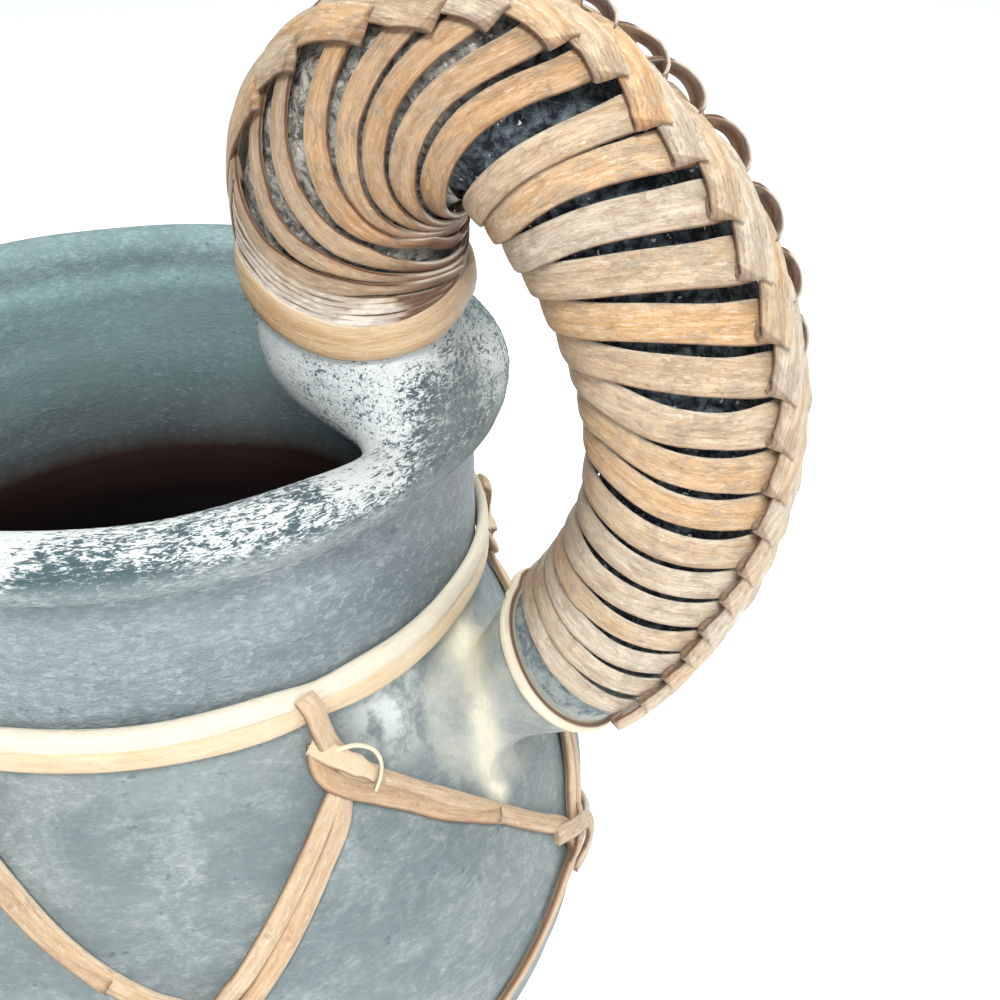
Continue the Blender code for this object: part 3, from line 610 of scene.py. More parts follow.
def turned_jug():
    """The thrown jug: a foot disc drawn up along the outline, ring by ring."""
    outline = jug_outline()
    deselect()
    bpy.ops.mesh.primitive_circle_add(vertices=112, radius=outline[0][0], fill_type="NGON")
    made = bpy.context.object
    bpy.ops.object.mode_set(mode="EDIT")
    bpy.ops.mesh.select_all(action="SELECT")
    for (r0, z0), (r1, z1) in zip(outline, outline[1:]):
        rise = {"value": (0.0, 0.0, z1 - z0)}
        bpy.ops.mesh.extrude_region_move(TRANSFORM_OT_translate=rise)
        bpy.ops.transform.resize(value=(r1 / r0, r1 / r0, 1.0), center_override=(0.0, 0.0, z1))
    bpy.ops.mesh.select_all(action="SELECT")
    bpy.ops.mesh.normals_make_consistent(inside=False)
    bpy.ops.object.mode_set(mode="OBJECT")
    return made


def root_rows():
    rows, steps = [], 9
    for i in range(steps):
        t = i / steps
        inner = mix(LIP_R - 0.0048, LEG_X - CORE_R, t ** 0.85)
        outer = mix(LIP_R + 0.0044, LEG_X + CORE_R, t ** 2.0)
        centre = Vector(((inner + outer) / 2.0, 0.0, mix(LIP_Z - 0.001, LEG_Z, t)))
        rows.append((centre, Vector((-1.0, 0.0, 0.0)), 2.0 * mix(0.0158, CORE_R, t),
                         outer - inner, 0.5, 0.0))
    return rows


def pulled_handle():
    """Root on the lip, leg, crook, bow and flared foot, as one sweep of rings."""
    rows = root_rows()
    for s in np.linspace(0.0, HANDLE + 0.026, 92):
        centre, _, back = handle_line(s)
        covered = ease((s - 0.012) / 0.006) * ease((HANDLE - s) / 0.006)
        hidden = ease(covered)
        less, lean = slimmed(s)
        centre = centre + (NEAR * lean - back * lean * LEAN_IN) * hidden
        radius = core_radius(s) - UNDER_STRIP * covered - less * hidden
        sunk_in = ease((s - HANDLE - 0.004) / 0.01)
        rows.append((centre, back, 2.0 * mix(radius, 0.0125, sunk_in),
                         2.0 * mix(radius, 0.0098, sunk_in), 0.5, 0.0))
    return strand("pulled_handle", rows, circle(40))


def away(places, middle, size):
    """Distance from the middle of an egg-shaped area with its edge at 1."""
    return norm((places - middle) / size, axis=1)


def fuse(clay):
    """One skin over jug and handle, smoothed most where the handle is luted on."""
    skin = clay.modifiers.new("fuse", "REMESH")
    skin.mode, skin.voxel_size = "VOXEL", 0.0017
    bpy.ops.object.modifier_apply(modifier=skin.name)
    luting = clay.vertex_groups.new(name="luting")
    places = read(clay.data.vertices, "co")
    root = away(places, (0.06, 0.0, 0.1765), (0.02, 0.026, 0.014))
    foot = away(places, (0.068, 0.0, 0.121), (0.02, 0.028, 0.022))
    weight = np.round(np.clip(1.6 - np.minimum(root, foot) * 1.2, 0.08, 1.0), 1)
    for level in np.unique(weight):
        luting.add(np.nonzero(weight == level)[0].tolist(), float(level), "REPLACE")
    relax = clay.modifiers.new("relax", "SMOOTH")
    relax.factor, relax.iterations, relax.vertex_group = 0.6, 26, luting.name
    bpy.ops.object.modifier_apply(modifier=relax.name)
    clay.vertex_groups.clear()


def build_clay():
    clay = join("clay_body", [turned_jug(), pulled_handle()])
    fuse(clay)
    places = read(clay.data.vertices, "co")
    lumps = np.array([noise.noise(Vector(v) * 45.0) * 0.00035
                      + noise.noise(Vector((v[0] * 30.0, v[1] * 30.0, v[2] * 210.0))) * 0.00022
                      for v in places])
    lumps[places[:, 2] < 0.004] = 0.0
    raise_by(clay.data, places, lumps)
    paint_marks(clay, places)
    for face in clay.data.polygons:
        face.use_smooth = True
    dress(clay, make_clay(), "painted_clay", "jug_body")


def build_rough_core():
    """The handle's own surface between the turns, lumpy as a pulled coil is."""
    rows = []
    for s in np.linspace(0.015, HANDLE - 0.001, 270):
        centre, _, back = handle_line(s)
        less, lean = slimmed(s)
        size = 2.0 * (core_radius(s) - less)
        fuller = min(0.0009, max(0.0, (less + lean - sunk(s) - 0.0003) / 2.0))
        centre = centre + NEAR * (lean - fuller) - back * lean * LEAN_IN
        pale, painted = 1.0 - ease((s - 0.053) / 0.01), ease((s - 0.15) / 0.008)
        rows.append((centre, back, size + 2.0 * fuller, size, pale, painted))
    core = strand("rough_core", rows, circle(120))
    places = read(core.data.vertices, "co")
    lumps = np.array([noise.noise(Vector(v) * 520.0) * 0.0003
                      + noise.noise(Vector(v) * 190.0) * 0.00018 for v in places])
    raise_by(core.data, places, lumps)
    dress(core, make_rough_core(), "dark_clay", "handle_core")


# Marks on the clay. The viewer's side, in degrees, and the x past which wear fades
FRONT, UNDER_HANDLE = -70.0, 0.0665
# Path of the cream smear, x, y, z and half width in mm
SMEAR = ((62.0, 1.5, 132.0, 3.6), (67.5, -6.5, 130.5, 3.4), (70.0, -11.2, 127.0, 2.8),
         (71.0, -11.6, 121.5, 2.4), (70.8, -9.5, 113.0, 2.6), (72.4, -9.0, 105.7, 2.4))


def share_of(values, low=0.0):
    return np.clip(values, low, 1.0)


def bare_inside(angle, z, inside):
    rag = np.array([noise.noise(Vector((a * 0.06, 0.0, 0.0))) * 0.0035
                    + noise.noise(Vector((a * 0.5, h * 300.0, 5.0))) * 0.0012
                    for a, h in zip(angle, z)])
    return inside * share_of((BARE_Z + rag * 0.6 - z) / 0.007)


def worn_paint(places, radius, facing, inside):
    """Wear on the lip, most toward the viewer, and on the handle's root."""
    x, _, z = places.T
    lip = share_of(1.0 - np.abs(z - LIP_Z - 0.001) / 0.01) * (radius > LIP_R - 0.012)
    lip *= 0.15 + 0.85 * share_of((facing + 0.55) / 0.8)
    lip *= 1.5 * share_of((UNDER_HANDLE - x) / 0.006, 0.4)
    root = share_of(1.45 - away(places, (0.051, -0.004, 0.1815), (0.021, 0.026, 0.016)))
    root *= share_of((UNDER_HANDLE - x) / 0.01, 0.22)
    worn = share_of(np.maximum(lip, root * 1.4))
    # Under the lip's roll the white wear is cut back, as painted shade under the lip with less
    # rubbing there
    shaded_under_lip = (radius > LIP_R + 0.001) * share_of((LIP_Z + 0.0015 - z) / 0.002)
    return np.maximum(worn * mix(1.0, 0.35, shaded_under_lip), 0.12 * ~inside)


def cream_smear(places):
    smear = np.zeros(len(places))
    for a, b in zip(SMEAR, SMEAR[1:]):
        low, high = np.array(a[:3]) * MM, np.array(b[:3]) * MM
        step = high - low
        share = share_of((places - low) @ step / np.dot(step, step))
        gap = norm(places - low - share[:, None] * step, axis=1)
        smear = np.maximum(smear, np.exp(-(gap / (mix(a[3], b[3], share) * MM)) ** 2))
    return smear


def paint_marks(clay, places):
    """Where the paint stops, wears and is smeared, kept as two colour attributes."""
    x, y, z = places.T
    radius, angle = np.hypot(x, y), np.degrees(np.arctan2(y, x))
    facing = np.cos(np.radians(angle - FRONT))
    wall = np.array([body_radius(min(max(v, 0.0), LIP_Z)) for v in z])
    inside = (radius < wall - WALL * 0.55) & (z < LIP_Z - 0.002) & (z > 0.002)
    bare = bare_inside(angle, z, inside)
    worn = worn_paint(places, radius, facing, inside)
    smear = cream_smear(places) * ~inside
    spot = np.stack([(angle + 19.0) / 9.0, (z - 0.1305) / 0.01], 1)
    patch = share_of(1.25 - norm(spot, axis=1)) * ~inside * (radius < 0.075)
    foot = np.array([handle_line(s)[0] for s in np.linspace(HANDLE - 0.004, HANDLE + 0.02, 12)])
    near = np.min(norm(places[:, None] - foot[None], axis=2), axis=1)
    grip = share_of((0.0185 - near) / 0.003)
    teal = np.maximum(inside * share_of((z - 0.126) / 0.006),
                      0.8 * (z > LIP_Z - 0.006) * share_of(-facing * 2.0))
    for name, values in (("marks", (bare, worn, smear)), ("areas", (grip, teal, patch))):
        layer = clay.data.color_attributes.new(name, "FLOAT_COLOR", "POINT")
        layer.data.foreach_set("color", np.stack([*values, np.ones(len(z))], 1).ravel())


# Cane on the handle

def winding_knots():
    """Places of each turn: traced on the near side, carried round the far one on its plane."""
    turns, places = [], []
    half = math.sqrt(0.5)
    for k in range(len(BACK)):
        step = INSIDE[k + 1] - INSIDE[k] if k + 1 < len(BACK) else LAST_STEP
        inner, side, back = INSIDE[k] + step / 2.0, SIDE[k] + step / 4.0, BACK[k] + step / 8.0
        middle = back - half * (side - inner)
        up, near = middle - inner, side - middle
        far = 1.2 * ease((k - 6.0) / 3.0)
        turns += [k + share for share in (-0.5, -0.361, -0.25, -0.125, 0.0, 0.125, 0.25, 0.375)]
        places += [INSIDE[k], LOW[k], SIDE[k], BACK[k], middle + up,
                   middle + half * (up - near) + step / 8.0 + far,
                   middle - near + step / 4.0 + far * 0.8,
                   middle - half * (up + near) + step * 0.375]
    return turns + [len(BACK) - 0.5], places + [INSIDE[-1] + LAST_STEP]


TURNS, CROSSINGS = winding_knots()
ROWS_PER_TURN = 64


def winding_angle(turn):
    return (math.floor(turn + 0.5) - turn) * math.tau


def winding_s(turn):
    return through(TURNS, CROSSINGS, turn) * MM


def winding_place(turn, lift):
    """Point and normal of the winding, drawn in on the far side."""
    s, angle = winding_s(turn), winding_angle(turn)
    degrees = math.degrees(angle)
    far = ease((24.0 - degrees) / 40.0) * ease((degrees + 200.0) / 70.0)
    return on_handle(s, angle, lift - far * sunk(s))


def room_beside(spots, i, along):
    """Distance to the turns on either side of a spot, at most 6 mm."""
    room = 0.006
    for j in (i - ROWS_PER_TURN, i + ROWS_PER_TURN):
        if 0 <= j < len(spots):
            gap = spots[j][0] - spots[i][0]
            room = min(room, (gap - along * gap.dot(along)).length)
    return room


def build_winding():
    """One strip from the inside of the crook to the handle's foot, each turn lapping the next."""
    first, last = -0.5, len(BACK) - 0.55
    count = int((last - first) * ROWS_PER_TURN)
    turns = [mix(first, last, i / count) for i in range(count + 1)]
    spots = [winding_place(u, STRIP) for u in turns]
    rows = []
    for i, u in enumerate(turns):
        centre, normal = spots[i]
        along = (spots[min(i + 1, count)][0] - spots[max(i - 1, 0)][0]).normalized()
        room = room_beside(spots, i, along)
        k = math.floor(u + 0.5)
        degrees = math.degrees(winding_angle(u))
        wide = WIDTHS[k] * MM * (1.0 + 0.16 * hump(degrees, 38.0, 14.0))
        wide = min(wide, max(0.0021, room * 1.15)) * (1.0 + 0.05 * wobble(u * 8.0, 2.0))
        roll = radians(6.0 + 4.0 * wobble(u * 0.7, 8.0))
        if wide > room * 0.9:
            roll = max(roll, math.asin(min(0.6, (STRIP + 0.0001) / room)))
        rise = sin(roll) * wide * 0.42 + 0.00012 * wobble(u * 5.0, 4.0)
        # Darker on the leg's first turns and round the inner side of the handle's loop: partly
        # ageing, partly painted shade
        age_and_shade = 0.33 * (1.0 - ease((u - 6.5) / 1.5)) + 0.55 * ease((degrees - 115.0) / 45.0)
        tilted = rolled(normal, handle_line(winding_s(u))[1], roll)
        rows.append((centre + normal * rise, tilted, wide, STRIP, TONES[k], age_and_shade))
    dress(strand("handle_winding_cane", rows), TAN, "tan_cane", "handle_winding")


# The start band's middle line: degrees round the handle and mm along it
BAND_DEGREES = (-44.0, 0.0, 52.0, 78.0, 110.0, 148.0, 184.0, 225.0, 270.0, 316.0, 360.0,
                412.0, 438.0)
BAND_LINE = (14.2, 14.6, 11.2, 7.8, 4.9, 5.0, 7.4, 9.6, 12.0, 14.2, 14.6, 11.2, 7.8)
SPLIT_TURNS = 5


def band_s(degrees):
    return through(BAND_DEGREES, BAND_LINE, (degrees + 44.0) % 360.0 - 44.0) * MM


def lapped(first, steps):
    """Once round and 40 degrees on, and how far the lap has climbed on the first layer."""
    for i in range(steps + 1):
        degrees = first + 400.0 * i / steps
        yield i, degrees, ease((degrees - first - 360.0) / 20.0)


def build_band():
    rows = []
    for i, degrees, over in lapped(184.0, 96):
        centre, normal = on_handle(band_s(degrees), radians(degrees), 0.0008 + 0.0009 * over)
        turned = degrees % 360.0
        # Darker round the inner side of the handle's loop: painted shade
        age_and_shade = 0.35 * ease((turned - 140.0) / 30.0) * ease((240.0 - turned) / 30.0)
        wide = 0.0057 + 0.0002 * wobble(i * 0.1, 3.0)
        tone = mix(0.35, 0.8, hump(turned, 75.0, 45.0))
        rows.append((centre, normal, wide, 0.0019, tone, age_and_shade))
    dress(strand("wide_start_band", rows), BAND, "yellow_cane", "start_band")


def split_gap(degrees, wrapped):
    """The gap between band and winding: where it begins, and its width."""
    if wrapped < 0.0:
        high = mix(winding_s(0.0), INSIDE[0] * MM, ease(-wrapped / 180.0))
    else:
        high = winding_s(-wrapped / 360.0)
    low = band_s(degrees) + 0.0026
    return low, max(high - 0.0014 - low, 0.0016)


def build_split_turns():
    """Thin split turns between the band and the winding, torn on the near side."""
    turns = []
    for row in range(SPLIT_TURNS):
        rows = []
        for i in range(91):
            degrees = 405.0 - 370.0 * i / 90
            wrapped = (degrees + 180.0) % 360.0 - 180.0
            low, room = split_gap(degrees, wrapped)
            s = low + room * (row + 0.5 + 0.25 * wobble(i * 0.07, row + 5.0)) / SPLIT_TURNS
            centre, normal = on_handle(s, radians(degrees),
                                       0.0009 + 0.0002 * wobble(i * 0.2, row + 9.0))
            torn = ease((wrapped - 134.0 - 5.0 * wobble(row * 1.7, 31.0)) / 7.0)
            tilted = rolled(normal, handle_line(s)[1], radians(12.0))
            tone = mix(0.05 + 0.09 * row, 1.0, torn)
            rows.append((centre, tilted, room / SPLIT_TURNS * 1.25, 0.0007, tone, 0.75 * torn))
        turns.append(strand("split_turn", rows))
    dress(join("split_start_turns", turns), SPLIT, "pale_cane", "start_whipping")


def build_end_ring():
    rows = []
    for i, degrees, over in lapped(180.0, 64):
        s = HANDLE + 0.0008 + 0.0004 * wobble(i * 0.12, 21.0)
        spot = on_handle(s, radians(degrees), 0.0003 + 0.0014 * over)
        rows.append((*spot, 0.0024, 0.0017, 0.25, 0.0))
    dress(strand("end_ring_cane", rows), PALE, "pale_cane", "end_ring")


# Near edge of the plait in degrees round the handle, and its width in mm, by mm along the handle
PLAIT_S = (22.0, 28.0, 36.0, 42.0, 48.0, 53.0, 57.0, 64.0,
           72.0, 78.0, 92.0, 108.0, 118.0, 128.0, 140.0, 160.0)
PLAIT_EDGE = (42.0, 50.0, 53.0, 58.0, 61.0, 56.0, 52.0, 47.0,
              48.0, 43.0, 42.0, 42.0, 45.0, 49.0, 55.0, 52.0)
PLAIT_WIDE = (7.6, 8.4, 9.2, 9.4, 9.4, 9.0, 8.6, 8.6, 8.9, 9.0, 10.2, 10.2, 9.0, 8.0, 7.0, 6.4)
CELL_TONES = (0.5, 0.9, 0.4, 0.9, 0.6, 0.2, 0.8, 0.5, 1.0, 0.0, 0.5, 0.1,
              0.6, 0.0, 0.35, 0.5, 0.1, 0.5, 0.3, 0.0, 0.45, 0.7, 0.2, 0.4)
# The fold at a cell's tip: mm forward, mm down and degrees turned
FOLD = ((0.22, 0.03, 20.0), (0.42, 0.14, 50.0), (0.48, 0.36, 85.0), (0.4, 0.6, 110.0),
        (0.05, 0.8, 140.0), (-0.9, 0.95, 165.0))
PLAIT_T = 0.0007


def plait_place(s, inward, lift):
    """Point and normal a distance in from the plait's near edge."""
    edge = radians(float(np.interp(s / MM, PLAIT_S, PLAIT_EDGE)))
    return on_handle(s, edge - inward / (core_radius(s) + 0.0024), lift)


def turn_back(turn):
    """Where a turn crosses the handle's back, also before the first and past the last."""
    inside = min(max(turn, 0.0), len(BACK) - 1.0)
    return float(np.interp(inside, range(len(BACK)), BACK)) * MM + (turn - inside) * 0.0062


def cell_path(k, tip, total, wide):
    """Rows of place, distance in, lift, lean, share of the width and darkening for ageing and
    painted shade, from loop to tip.
    """
    pitch = (turn_back(k + 0.5) - turn_back(k - 1.5)) / 2.0
    started = ease((tip - 0.02) / 0.016)
    run = mix(1.2, 2.0, started) * pitch * (1.0 + 0.06 * wobble(k * 2.7, 51.0))
    out = 0.0022 * ease((tip - 0.06) / 0.012) * ease((0.128 - tip) / 0.022)
    out *= 1.0 + 0.3 * wobble(k * 2.1, 57.0)
    standing = min(1.0, out / 0.0012)
    path = []
    if tip > 0.05:
        for w in np.linspace(0.0, 1.0, 21)[:-1]:
            bulge = sin(math.pi * w ** 1.35)
            inward = total - wide * mix(0.6, 0.46, w) * (1.0 - bulge) + out * bulge
            # The last entry darkens the loop's arch: painted shade on its inner face
            path.append((tip - run - pitch * (1.78 - 1.7 * w), inward,
                         mix(0.0008, 0.0023, bulge),
                         radians(84.0) * ease(bulge * 1.25) * standing,
                         mix(0.46, 0.8, w) - 0.24 * bulge,
                         ease((w - 0.25) / 0.25) * ease((1.0 - w) / 0.2) * standing))
    for i in range(33):
        u = i / 32
        inward = (total - wide) * (1.0 - u * u) + wide / 2.0 + 0.0002 * wobble(u * 2.0, k + 53.0)
        lift = mix(0.001, mix(0.0017, 0.0031, u), ease(u / 0.2))
        lift = mix(0.0012, lift + 0.0001 * wobble(u * 3.0, k + 54.0), started)
        # The last entry darkens the cell where it comes out from under the one before, as a
        # painted contact shadow, and a little toward its tip
        path.append((tip - run * (1.0 - u), inward, lift,
                     -mix(0.1, 0.15, u) - 0.05 * wobble(k * 3.3, 55.0),
                     mix(0.86, 1.0, ease(u / 0.4)),
                     0.1 * ease((u - 0.8) / 0.2) + 0.5 * (1.0 - ease(u / 0.3))))
    return path


def build_cell(k):
    """One round of a strand: the loop off the far edge, the slanting cell, its folded tip."""
    tip = turn_back(k) + WIDTHS[k] * 0.0005
    total = float(np.interp(tip / MM, PLAIT_S, PLAIT_WIDE)) * MM
    wide = total * (0.54 + 0.03 * wobble(k * 1.9, 52.0))
    path = cell_path(k, tip, total, wide)
    spots = [plait_place(*row[:3]) for row in path]
    rows, skew = [], []
    for i, (place, normal) in enumerate(spots):
        lean, narrow, age_and_shade = path[i][3:]
        ahead = (spots[min(i + 1, len(spots) - 1)][0] - spots[max(i - 1, 0)][0]).normalized()
        across = normal.cross(ahead).normalized()
        farther = across if across.y > 0.0 else -across
        tilted = rolled(normal, farther, -lean)
        rows.append((place, tilted, wide * narrow, PLAIT_T, CELL_TONES[k], age_and_shade))
        skew.append(0.5 * ease((i - len(spots) + 14.0) / 10.0))
    place, normal = rows[-1][:2]
    ahead = (spots[-1][0] - spots[-2][0]).normalized()
    for forward, down, degrees in FOLD:
        a = radians(degrees)
        spot = place + ahead * forward * MM - normal * down * MM
        # The fold is darkened: the cane's brown underside with painted shade under the fold
        rows.append((spot, rolled(normal, ahead, -a), wide, PLAIT_T, CELL_TONES[k], 0.6))
        skew.append(0.5 * cos(a))
    return strand("plait_cell", rows, skew=skew)


def build_plait():
    """Three flat strands over the turns in slanting cells, one cell to a turn."""
    for number, slot in enumerate(("yellow_cane", "pale_cane", "tan_cane"), 1):
        cells = [build_cell(k) for k in range(number - 1, len(BACK), 3)]
        dress(join("plait_cane_%d" % number, cells), TAN, slot, "plait_strand_%d" % number)


# Hoops and net

TIES = (-33.0, 36.0, 96.0, 155.0, 214.0, 272.0)
MEETS = (3.0, 66.0, 126.0, 185.0, 243.0, 305.5)
MEET_Z = (0.087, 0.09, 0.0915, 0.09, 0.092, 0.096)
LOW_Z, END_Z, HOOP_Z = 0.06, 0.03, 0.1394


def near_angle(a, b):
    return abs((a - b + 180.0) % 360.0 - 180.0)


def build_neck_hoop(name, node, rise, slot, tone, wide):
    """A cane once round the neck, lapped at the back and dented under each tie."""
    rows = []
    for i in range(181):
        turned = 369.0 * i / 180
        degrees = MEETS[2] + turned
        over = ease((turned - 357.0) / 5.0)
        dip = max(hump(near_angle(degrees, t), 0.0, 5.0) for t in TIES)
        z = HOOP_Z + rise * (1.0 - 0.25 * dip) + 0.0004 * wobble(i * 0.07, rise * 1000)
        lift = 0.0013 + 0.0014 * over + 0.0002 * wobble(i * 0.11, 7.0)
        rows.append((*on_body(degrees, z, lift), wide * (1.0 - 0.15 * dip),
                         0.0022 - 0.0009 * over, tone, 0.0))
    dress(strand(name, rows, OVAL), PALE, slot, node)


def build_hoops():
    build_neck_hoop("upper_hoop_cane", "neck_hoop_upper", 0.0019, "pale_cane", 0.05, 0.0044)
    build_neck_hoop("lower_hoop_cane", "neck_hoop_lower", -0.002, "yellow_cane", 0.8, 0.0046)
    rows = []
    for i in range(121):
        degrees = TIES[3] + 359.4 * i / 120
        over = max(math.exp(-(near_angle(degrees, t) / 6.0) ** 4) for t in MEETS)
        spot = on_body(degrees, END_Z, 0.0011 + 0.0015 * over)
        rows.append((*spot, 0.003, 0.0017, 0.5, 0.0))
    dress(strand("base_hoop_cane", rows, OVAL), YELLOW, "yellow_cane", "base_hoop")


def net_cane(points, wide, thick, tone, seed, age_and_shade, count, taper=1.0):
    """A cane on the wall through (degrees, height, lift) points in mm, tapered past its middle."""
    knots, rows = list(range(len(points))), []
    for i, x in enumerate(np.linspace(0.0, len(points) - 1.0, count)):
        degrees, z, lift = (through(knots, column, float(x)) for column in zip(*points))
        t = i / (count - 1)
        size = wide * mix(1.0, taper, ease((t - 0.55) / 0.12))
        size *= 1.0 + 0.06 * wobble(t * 6.0, seed)
        rows.append((*on_body(degrees, z * MM, lift * MM), size, thick,
                         tone + 0.15 * wobble(t * 3.0, seed + 1.0),
                         age_and_shade + 0.5 * ease((t - 0.975) / 0.02)))
    return strand("net_cane", rows, OVAL)


def shifted(points, degrees, z=0.0):
    return [(a + degrees, h + z, lift) for a, h, lift in points]


# Paths of the canes at a tie: degrees from it, height in mm and lift in mm
OVER_HOOPS = ((-2.6, 141.8, 2.4), (-2.0, 140.2, 3.8), (-1.4, 137.4, 4.0), (-0.7, 134.2, 3.6),
              (0.2, 130.8, 3.2), (1.6, 127.4, 3.0), (3.0, 124.6, 2.4))
HOOK = ((-1.2, 131.4, 1.6), (-1.9, 128.4, 2.3), (-0.9, 125.0, 2.7), (1.8, 122.0, 2.7),
        (5.4, 119.2, 2.2), (9.8, 115.4, 1.6), (14.0, 111.3, 1.3), (18.5, 107.4, 1.3),
        (22.6, 103.9, 1.4))
PALE_FOLD = ((-2.2, 131.6, 1.8), (-0.8, 130.2, 3.6), (1.2, 128.0, 4.6), (3.2, 125.6, 4.6),
             (5.2, 123.2, 3.6), (6.8, 121.4, 1.6))
CURL = ((0.4, 130.4, 4.4), (3.0, 130.2, 5.2), (5.2, 128.2, 5.6), (6.2, 125.2, 5.2),
        (6.0, 122.4, 4.2), (5.0, 120.0, 3.0))
# The same at a meeting and at a low knot, with the height from its middle
MEET_BEND = ((-5.0, 4.0, 1.6), (-2.0, 2.6, 3.2), (1.6, 0.4, 3.8), (2.6, -3.2, 3.6),
             (1.4, -6.4, 2.8), (-1.2, -8.2, 1.6))
MEET_BACK = ((3.4, 1.6, 1.8), (1.2, -0.6, 2.4), (-1.0, -3.0, 2.4), (-2.0, -5.0, 1.4))
LOW_WRAP = ((-4.0, 1.8, 0.8), (-2.4, 1.2, 2.6), (0.0, 0.0, 3.4), (2.4, -1.2, 2.6),
            (4.0, -1.8, 0.8))


def leg_points(index, side, aside):
    """From tie to meeting, low knot and base, a distance aside from the middle of the leg."""
    tie = TIES[index]
    meeting = index if side > 0 else index - 1
    meet = MEETS[meeting] - (360.0 if side < 0 and index == 0 else 0.0)
    meet_z, low, end = MEET_Z[meeting] / MM, LOW_Z / MM, END_Z / MM
    start, start_z = (tie + 3.4, 122.6) if side > 0 else (tie - 1.5, 118.5)
    kiss = side * 1.4
    bulge = {0: 2.0, 5: -2.2}.get(index, 0.0) if side > 0 else 0.0
    points = []
    for t in (0.0, 0.2, 0.4, 0.6, 0.8, 0.97):
        z = mix(start_z, meet_z + 0.6, t) + bulge * sin(math.pi * t)
        points.append((mix(start, meet - kiss, t) + aside * 0.55, z + aside * 0.75 * side, 1.3))
    points.append((meet - kiss * 0.7 + aside * 0.4, meet_z - 4.5, 1.2))
    for t in (0.12, 0.35, 0.6, 0.85):
        points.append((mix(meet - kiss, tie + kiss, t), mix(meet_z - 4.0, low, t), 1.1))
    points.append((tie + kiss, low, 1.1))
    for t in (0.15, 0.4, 0.65, 0.88):
        points.append((mix(tie + kiss, meet - kiss, t), mix(low, end, t), 1.1))
    return points + [(meet - kiss, end - 4.0, 1.1)]


def build_net_strand(index, tie, seed, number):
    """Right leg over the hoops, the hook doubled under it, and the doubled left leg."""
    right = net_cane(shifted(OVER_HOOPS, tie) + leg_points(index, 1, 0.9)[1:],
                     0.0037, 0.0017, 0.7, seed, 0.12, 150, 0.62)
    hook = net_cane(shifted(HOOK, tie), 0.0036, 0.0017, 0.85, seed + 2.0, 0.3, 64)
    left = net_cane([(tie + 0.2, 122.5, 1.4)] + leg_points(index, -1, -1.5),
                    0.0034, 0.0016, 0.6, seed + 4.0, 0.03, 150, 0.7)
    inner = net_cane([(tie + 1.2, 122.0, 1.2)] + leg_points(index, -1, 1.3)[:7],
                     0.0034, 0.0016, 0.8, seed + 6.0, 0.12, 60)
    legs = join("net_cane_%d" % number, [right, hook, left, inner])
    dress(legs, YELLOW, "yellow_cane", "net_strand_%d" % number)


def build_net():
    """Six strands and their knots: over each tie a pale fold, and the thin curl split from it."""
    for index, tie in enumerate(TIES):
        number, seed = index + 1, index * 3.7 + 11.0
        meet, z = MEETS[index], MEET_Z[index] / MM
        build_net_strand(index, tie, seed, number)
        fold = net_cane(shifted(PALE_FOLD, tie), 0.0036, 0.0011, 0.85, seed + 8.0, 0.12, 40, 0.8)
        curl = net_cane(shifted(CURL, tie), 0.0008, 0.0006, 0.4, seed + 9.0, 0.0, 36)
        knot = join("tie_knot_cane_%d" % number, [fold, curl])
        dress(knot, PALE, "tan_cane", "tie_knot_%d" % number)
        bend = net_cane(shifted(MEET_BEND, meet, z), 0.0036, 0.0014, 0.55, seed + 10.0, 0.15, 40)
        back = net_cane(shifted(MEET_BACK, meet, z), 0.003, 0.0013, 0.3, seed + 12.0, 0.2, 30)
        knot = join("meeting_knot_cane_%d" % number, [bend, back])
        dress(knot, TAN, "tan_cane", "meeting_knot_%d" % number)
        low = shifted(LOW_WRAP, tie, LOW_Z / MM)
        knot = net_cane(low, 0.0034, 0.0012, 0.6, seed + 14.0, 0.1, 30)
        dress(knot, TAN, "tan_cane", "low_knot_%d" % number)
        knot.name = "low_knot_cane_%d" % number


# Floor, light and camera

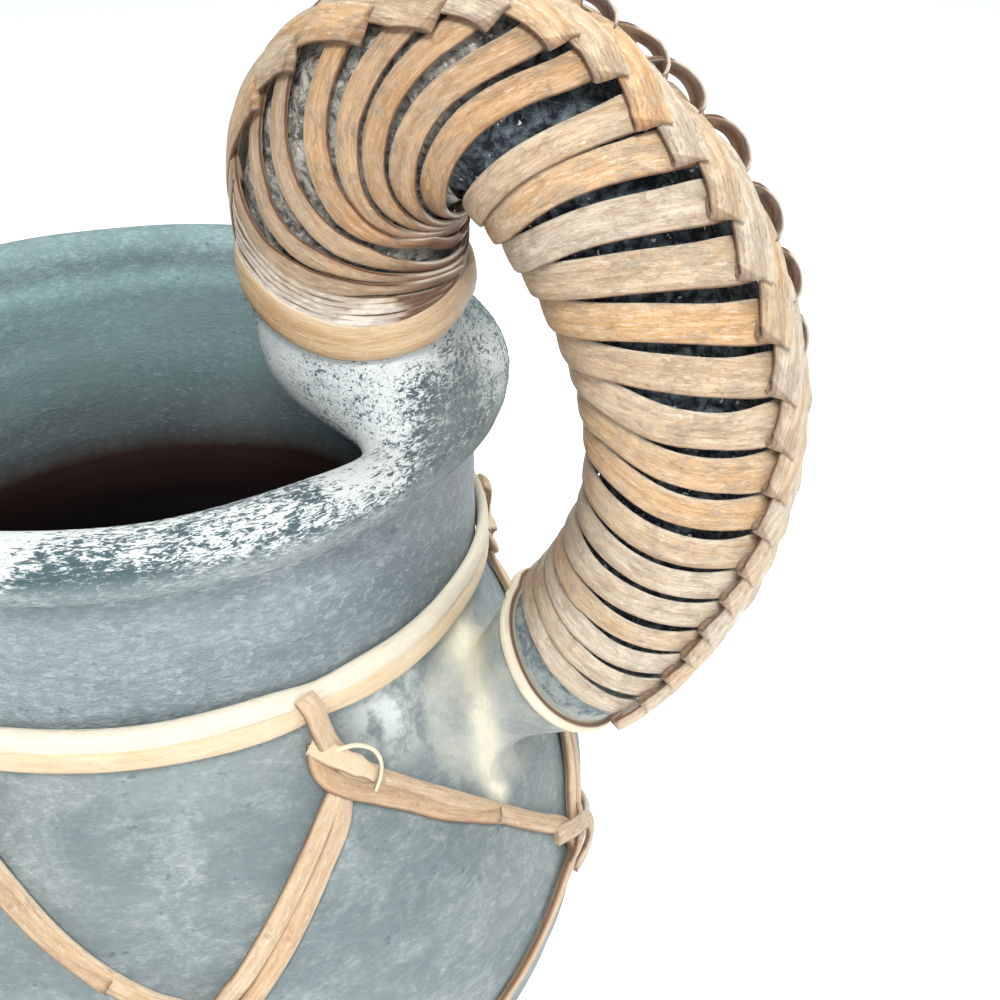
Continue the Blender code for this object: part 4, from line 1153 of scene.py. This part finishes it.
def build_floor():
    deselect()
    bpy.ops.mesh.primitive_plane_add(size=6.0, location=(0.0, 0.0, -0.0002))
    floor = bpy.context.object
    floor.name = "studio_floor"
    paper = bpy.data.materials.new("pale_floor")
    paper.use_nodes = True
    ins = paper.node_tree.nodes["Principled BSDF"].inputs
    ins["Base Color"].default_value = (0.93, 0.94, 0.96, 1.0)
    ins["Roughness"].default_value = 0.9
    ins["Specular IOR Level"].default_value = 0.1
    ins["Emission Color"].default_value = (0.96, 0.98, 1.0, 1.0)
    ins["Emission Strength"].default_value = 0.55
    floor.data.materials.append(paper)


def build_lights():
    scene = bpy.context.scene
    scene.view_settings.view_transform = "Standard"
    world = bpy.data.worlds.new("studio")
    world.use_nodes = True
    colour, strength = world.node_tree.nodes["Background"].inputs[:2]
    colour.default_value = (0.95, 0.98, 1.0, 1.0)
    strength.default_value = 0.35
    scene.world = world
    for name, place, target, size, power in (
            ("key", (0.3, -0.62, 0.9), (0.0, 0.0, 0.14), 0.26, 8.3),
            ("fill", (0.75, -0.6, 0.55), (0.03, 0.0, 0.14), 0.8, 1.8),
            ("top", (0.25, 0.25, 1.1), (0.02, 0.0, 0.15), 0.4, 5.4)):
        data = bpy.data.lights.new(name, "AREA")
        data.size, data.energy = size, power
        lamp = bpy.data.objects.new(name, data)
        scene.collection.objects.link(lamp)
        lamp.location = place
        lamp.rotation_euler = (Vector(target) - Vector(place)).to_track_quat("-Z", "Y").to_euler()


def build_camera():
    """The photograph's view, looking down on the rim from the handle's near side."""
    data = bpy.data.cameras.new("photo_view")
    data.lens, data.sensor_width = 48.42, 36.0
    data.clip_start, data.clip_end = 0.01, 20.0
    camera = bpy.data.objects.new("photo_view", data)
    bpy.context.scene.collection.objects.link(camera)
    yaw, pitch, roll = (radians(v) for v in (20.81, 30.87, -0.42))
    right = Vector((cos(yaw), sin(yaw), 0.0))
    level_ahead = Vector((-sin(yaw), cos(yaw), 0.0))
    ahead = level_ahead * cos(pitch) - Vector((0.0, 0.0, 1.0)) * sin(pitch)
    up = right.cross(ahead)
    level = right * cos(roll) + up * sin(roll)
    upright = up * cos(roll) - right * sin(roll)
    turn = Matrix((level, upright, -ahead)).transposed()
    camera.matrix_world = Matrix.Translation((0.13659, -0.17645, 0.27314)) @ turn.to_4x4()
    bpy.context.scene.camera = camera


build_camera()
build_floor()
build_lights()
build_clay()
build_rough_core()
build_winding()
build_band()
build_split_turns()
build_end_ring()
build_plait()
build_hoops()
build_net()
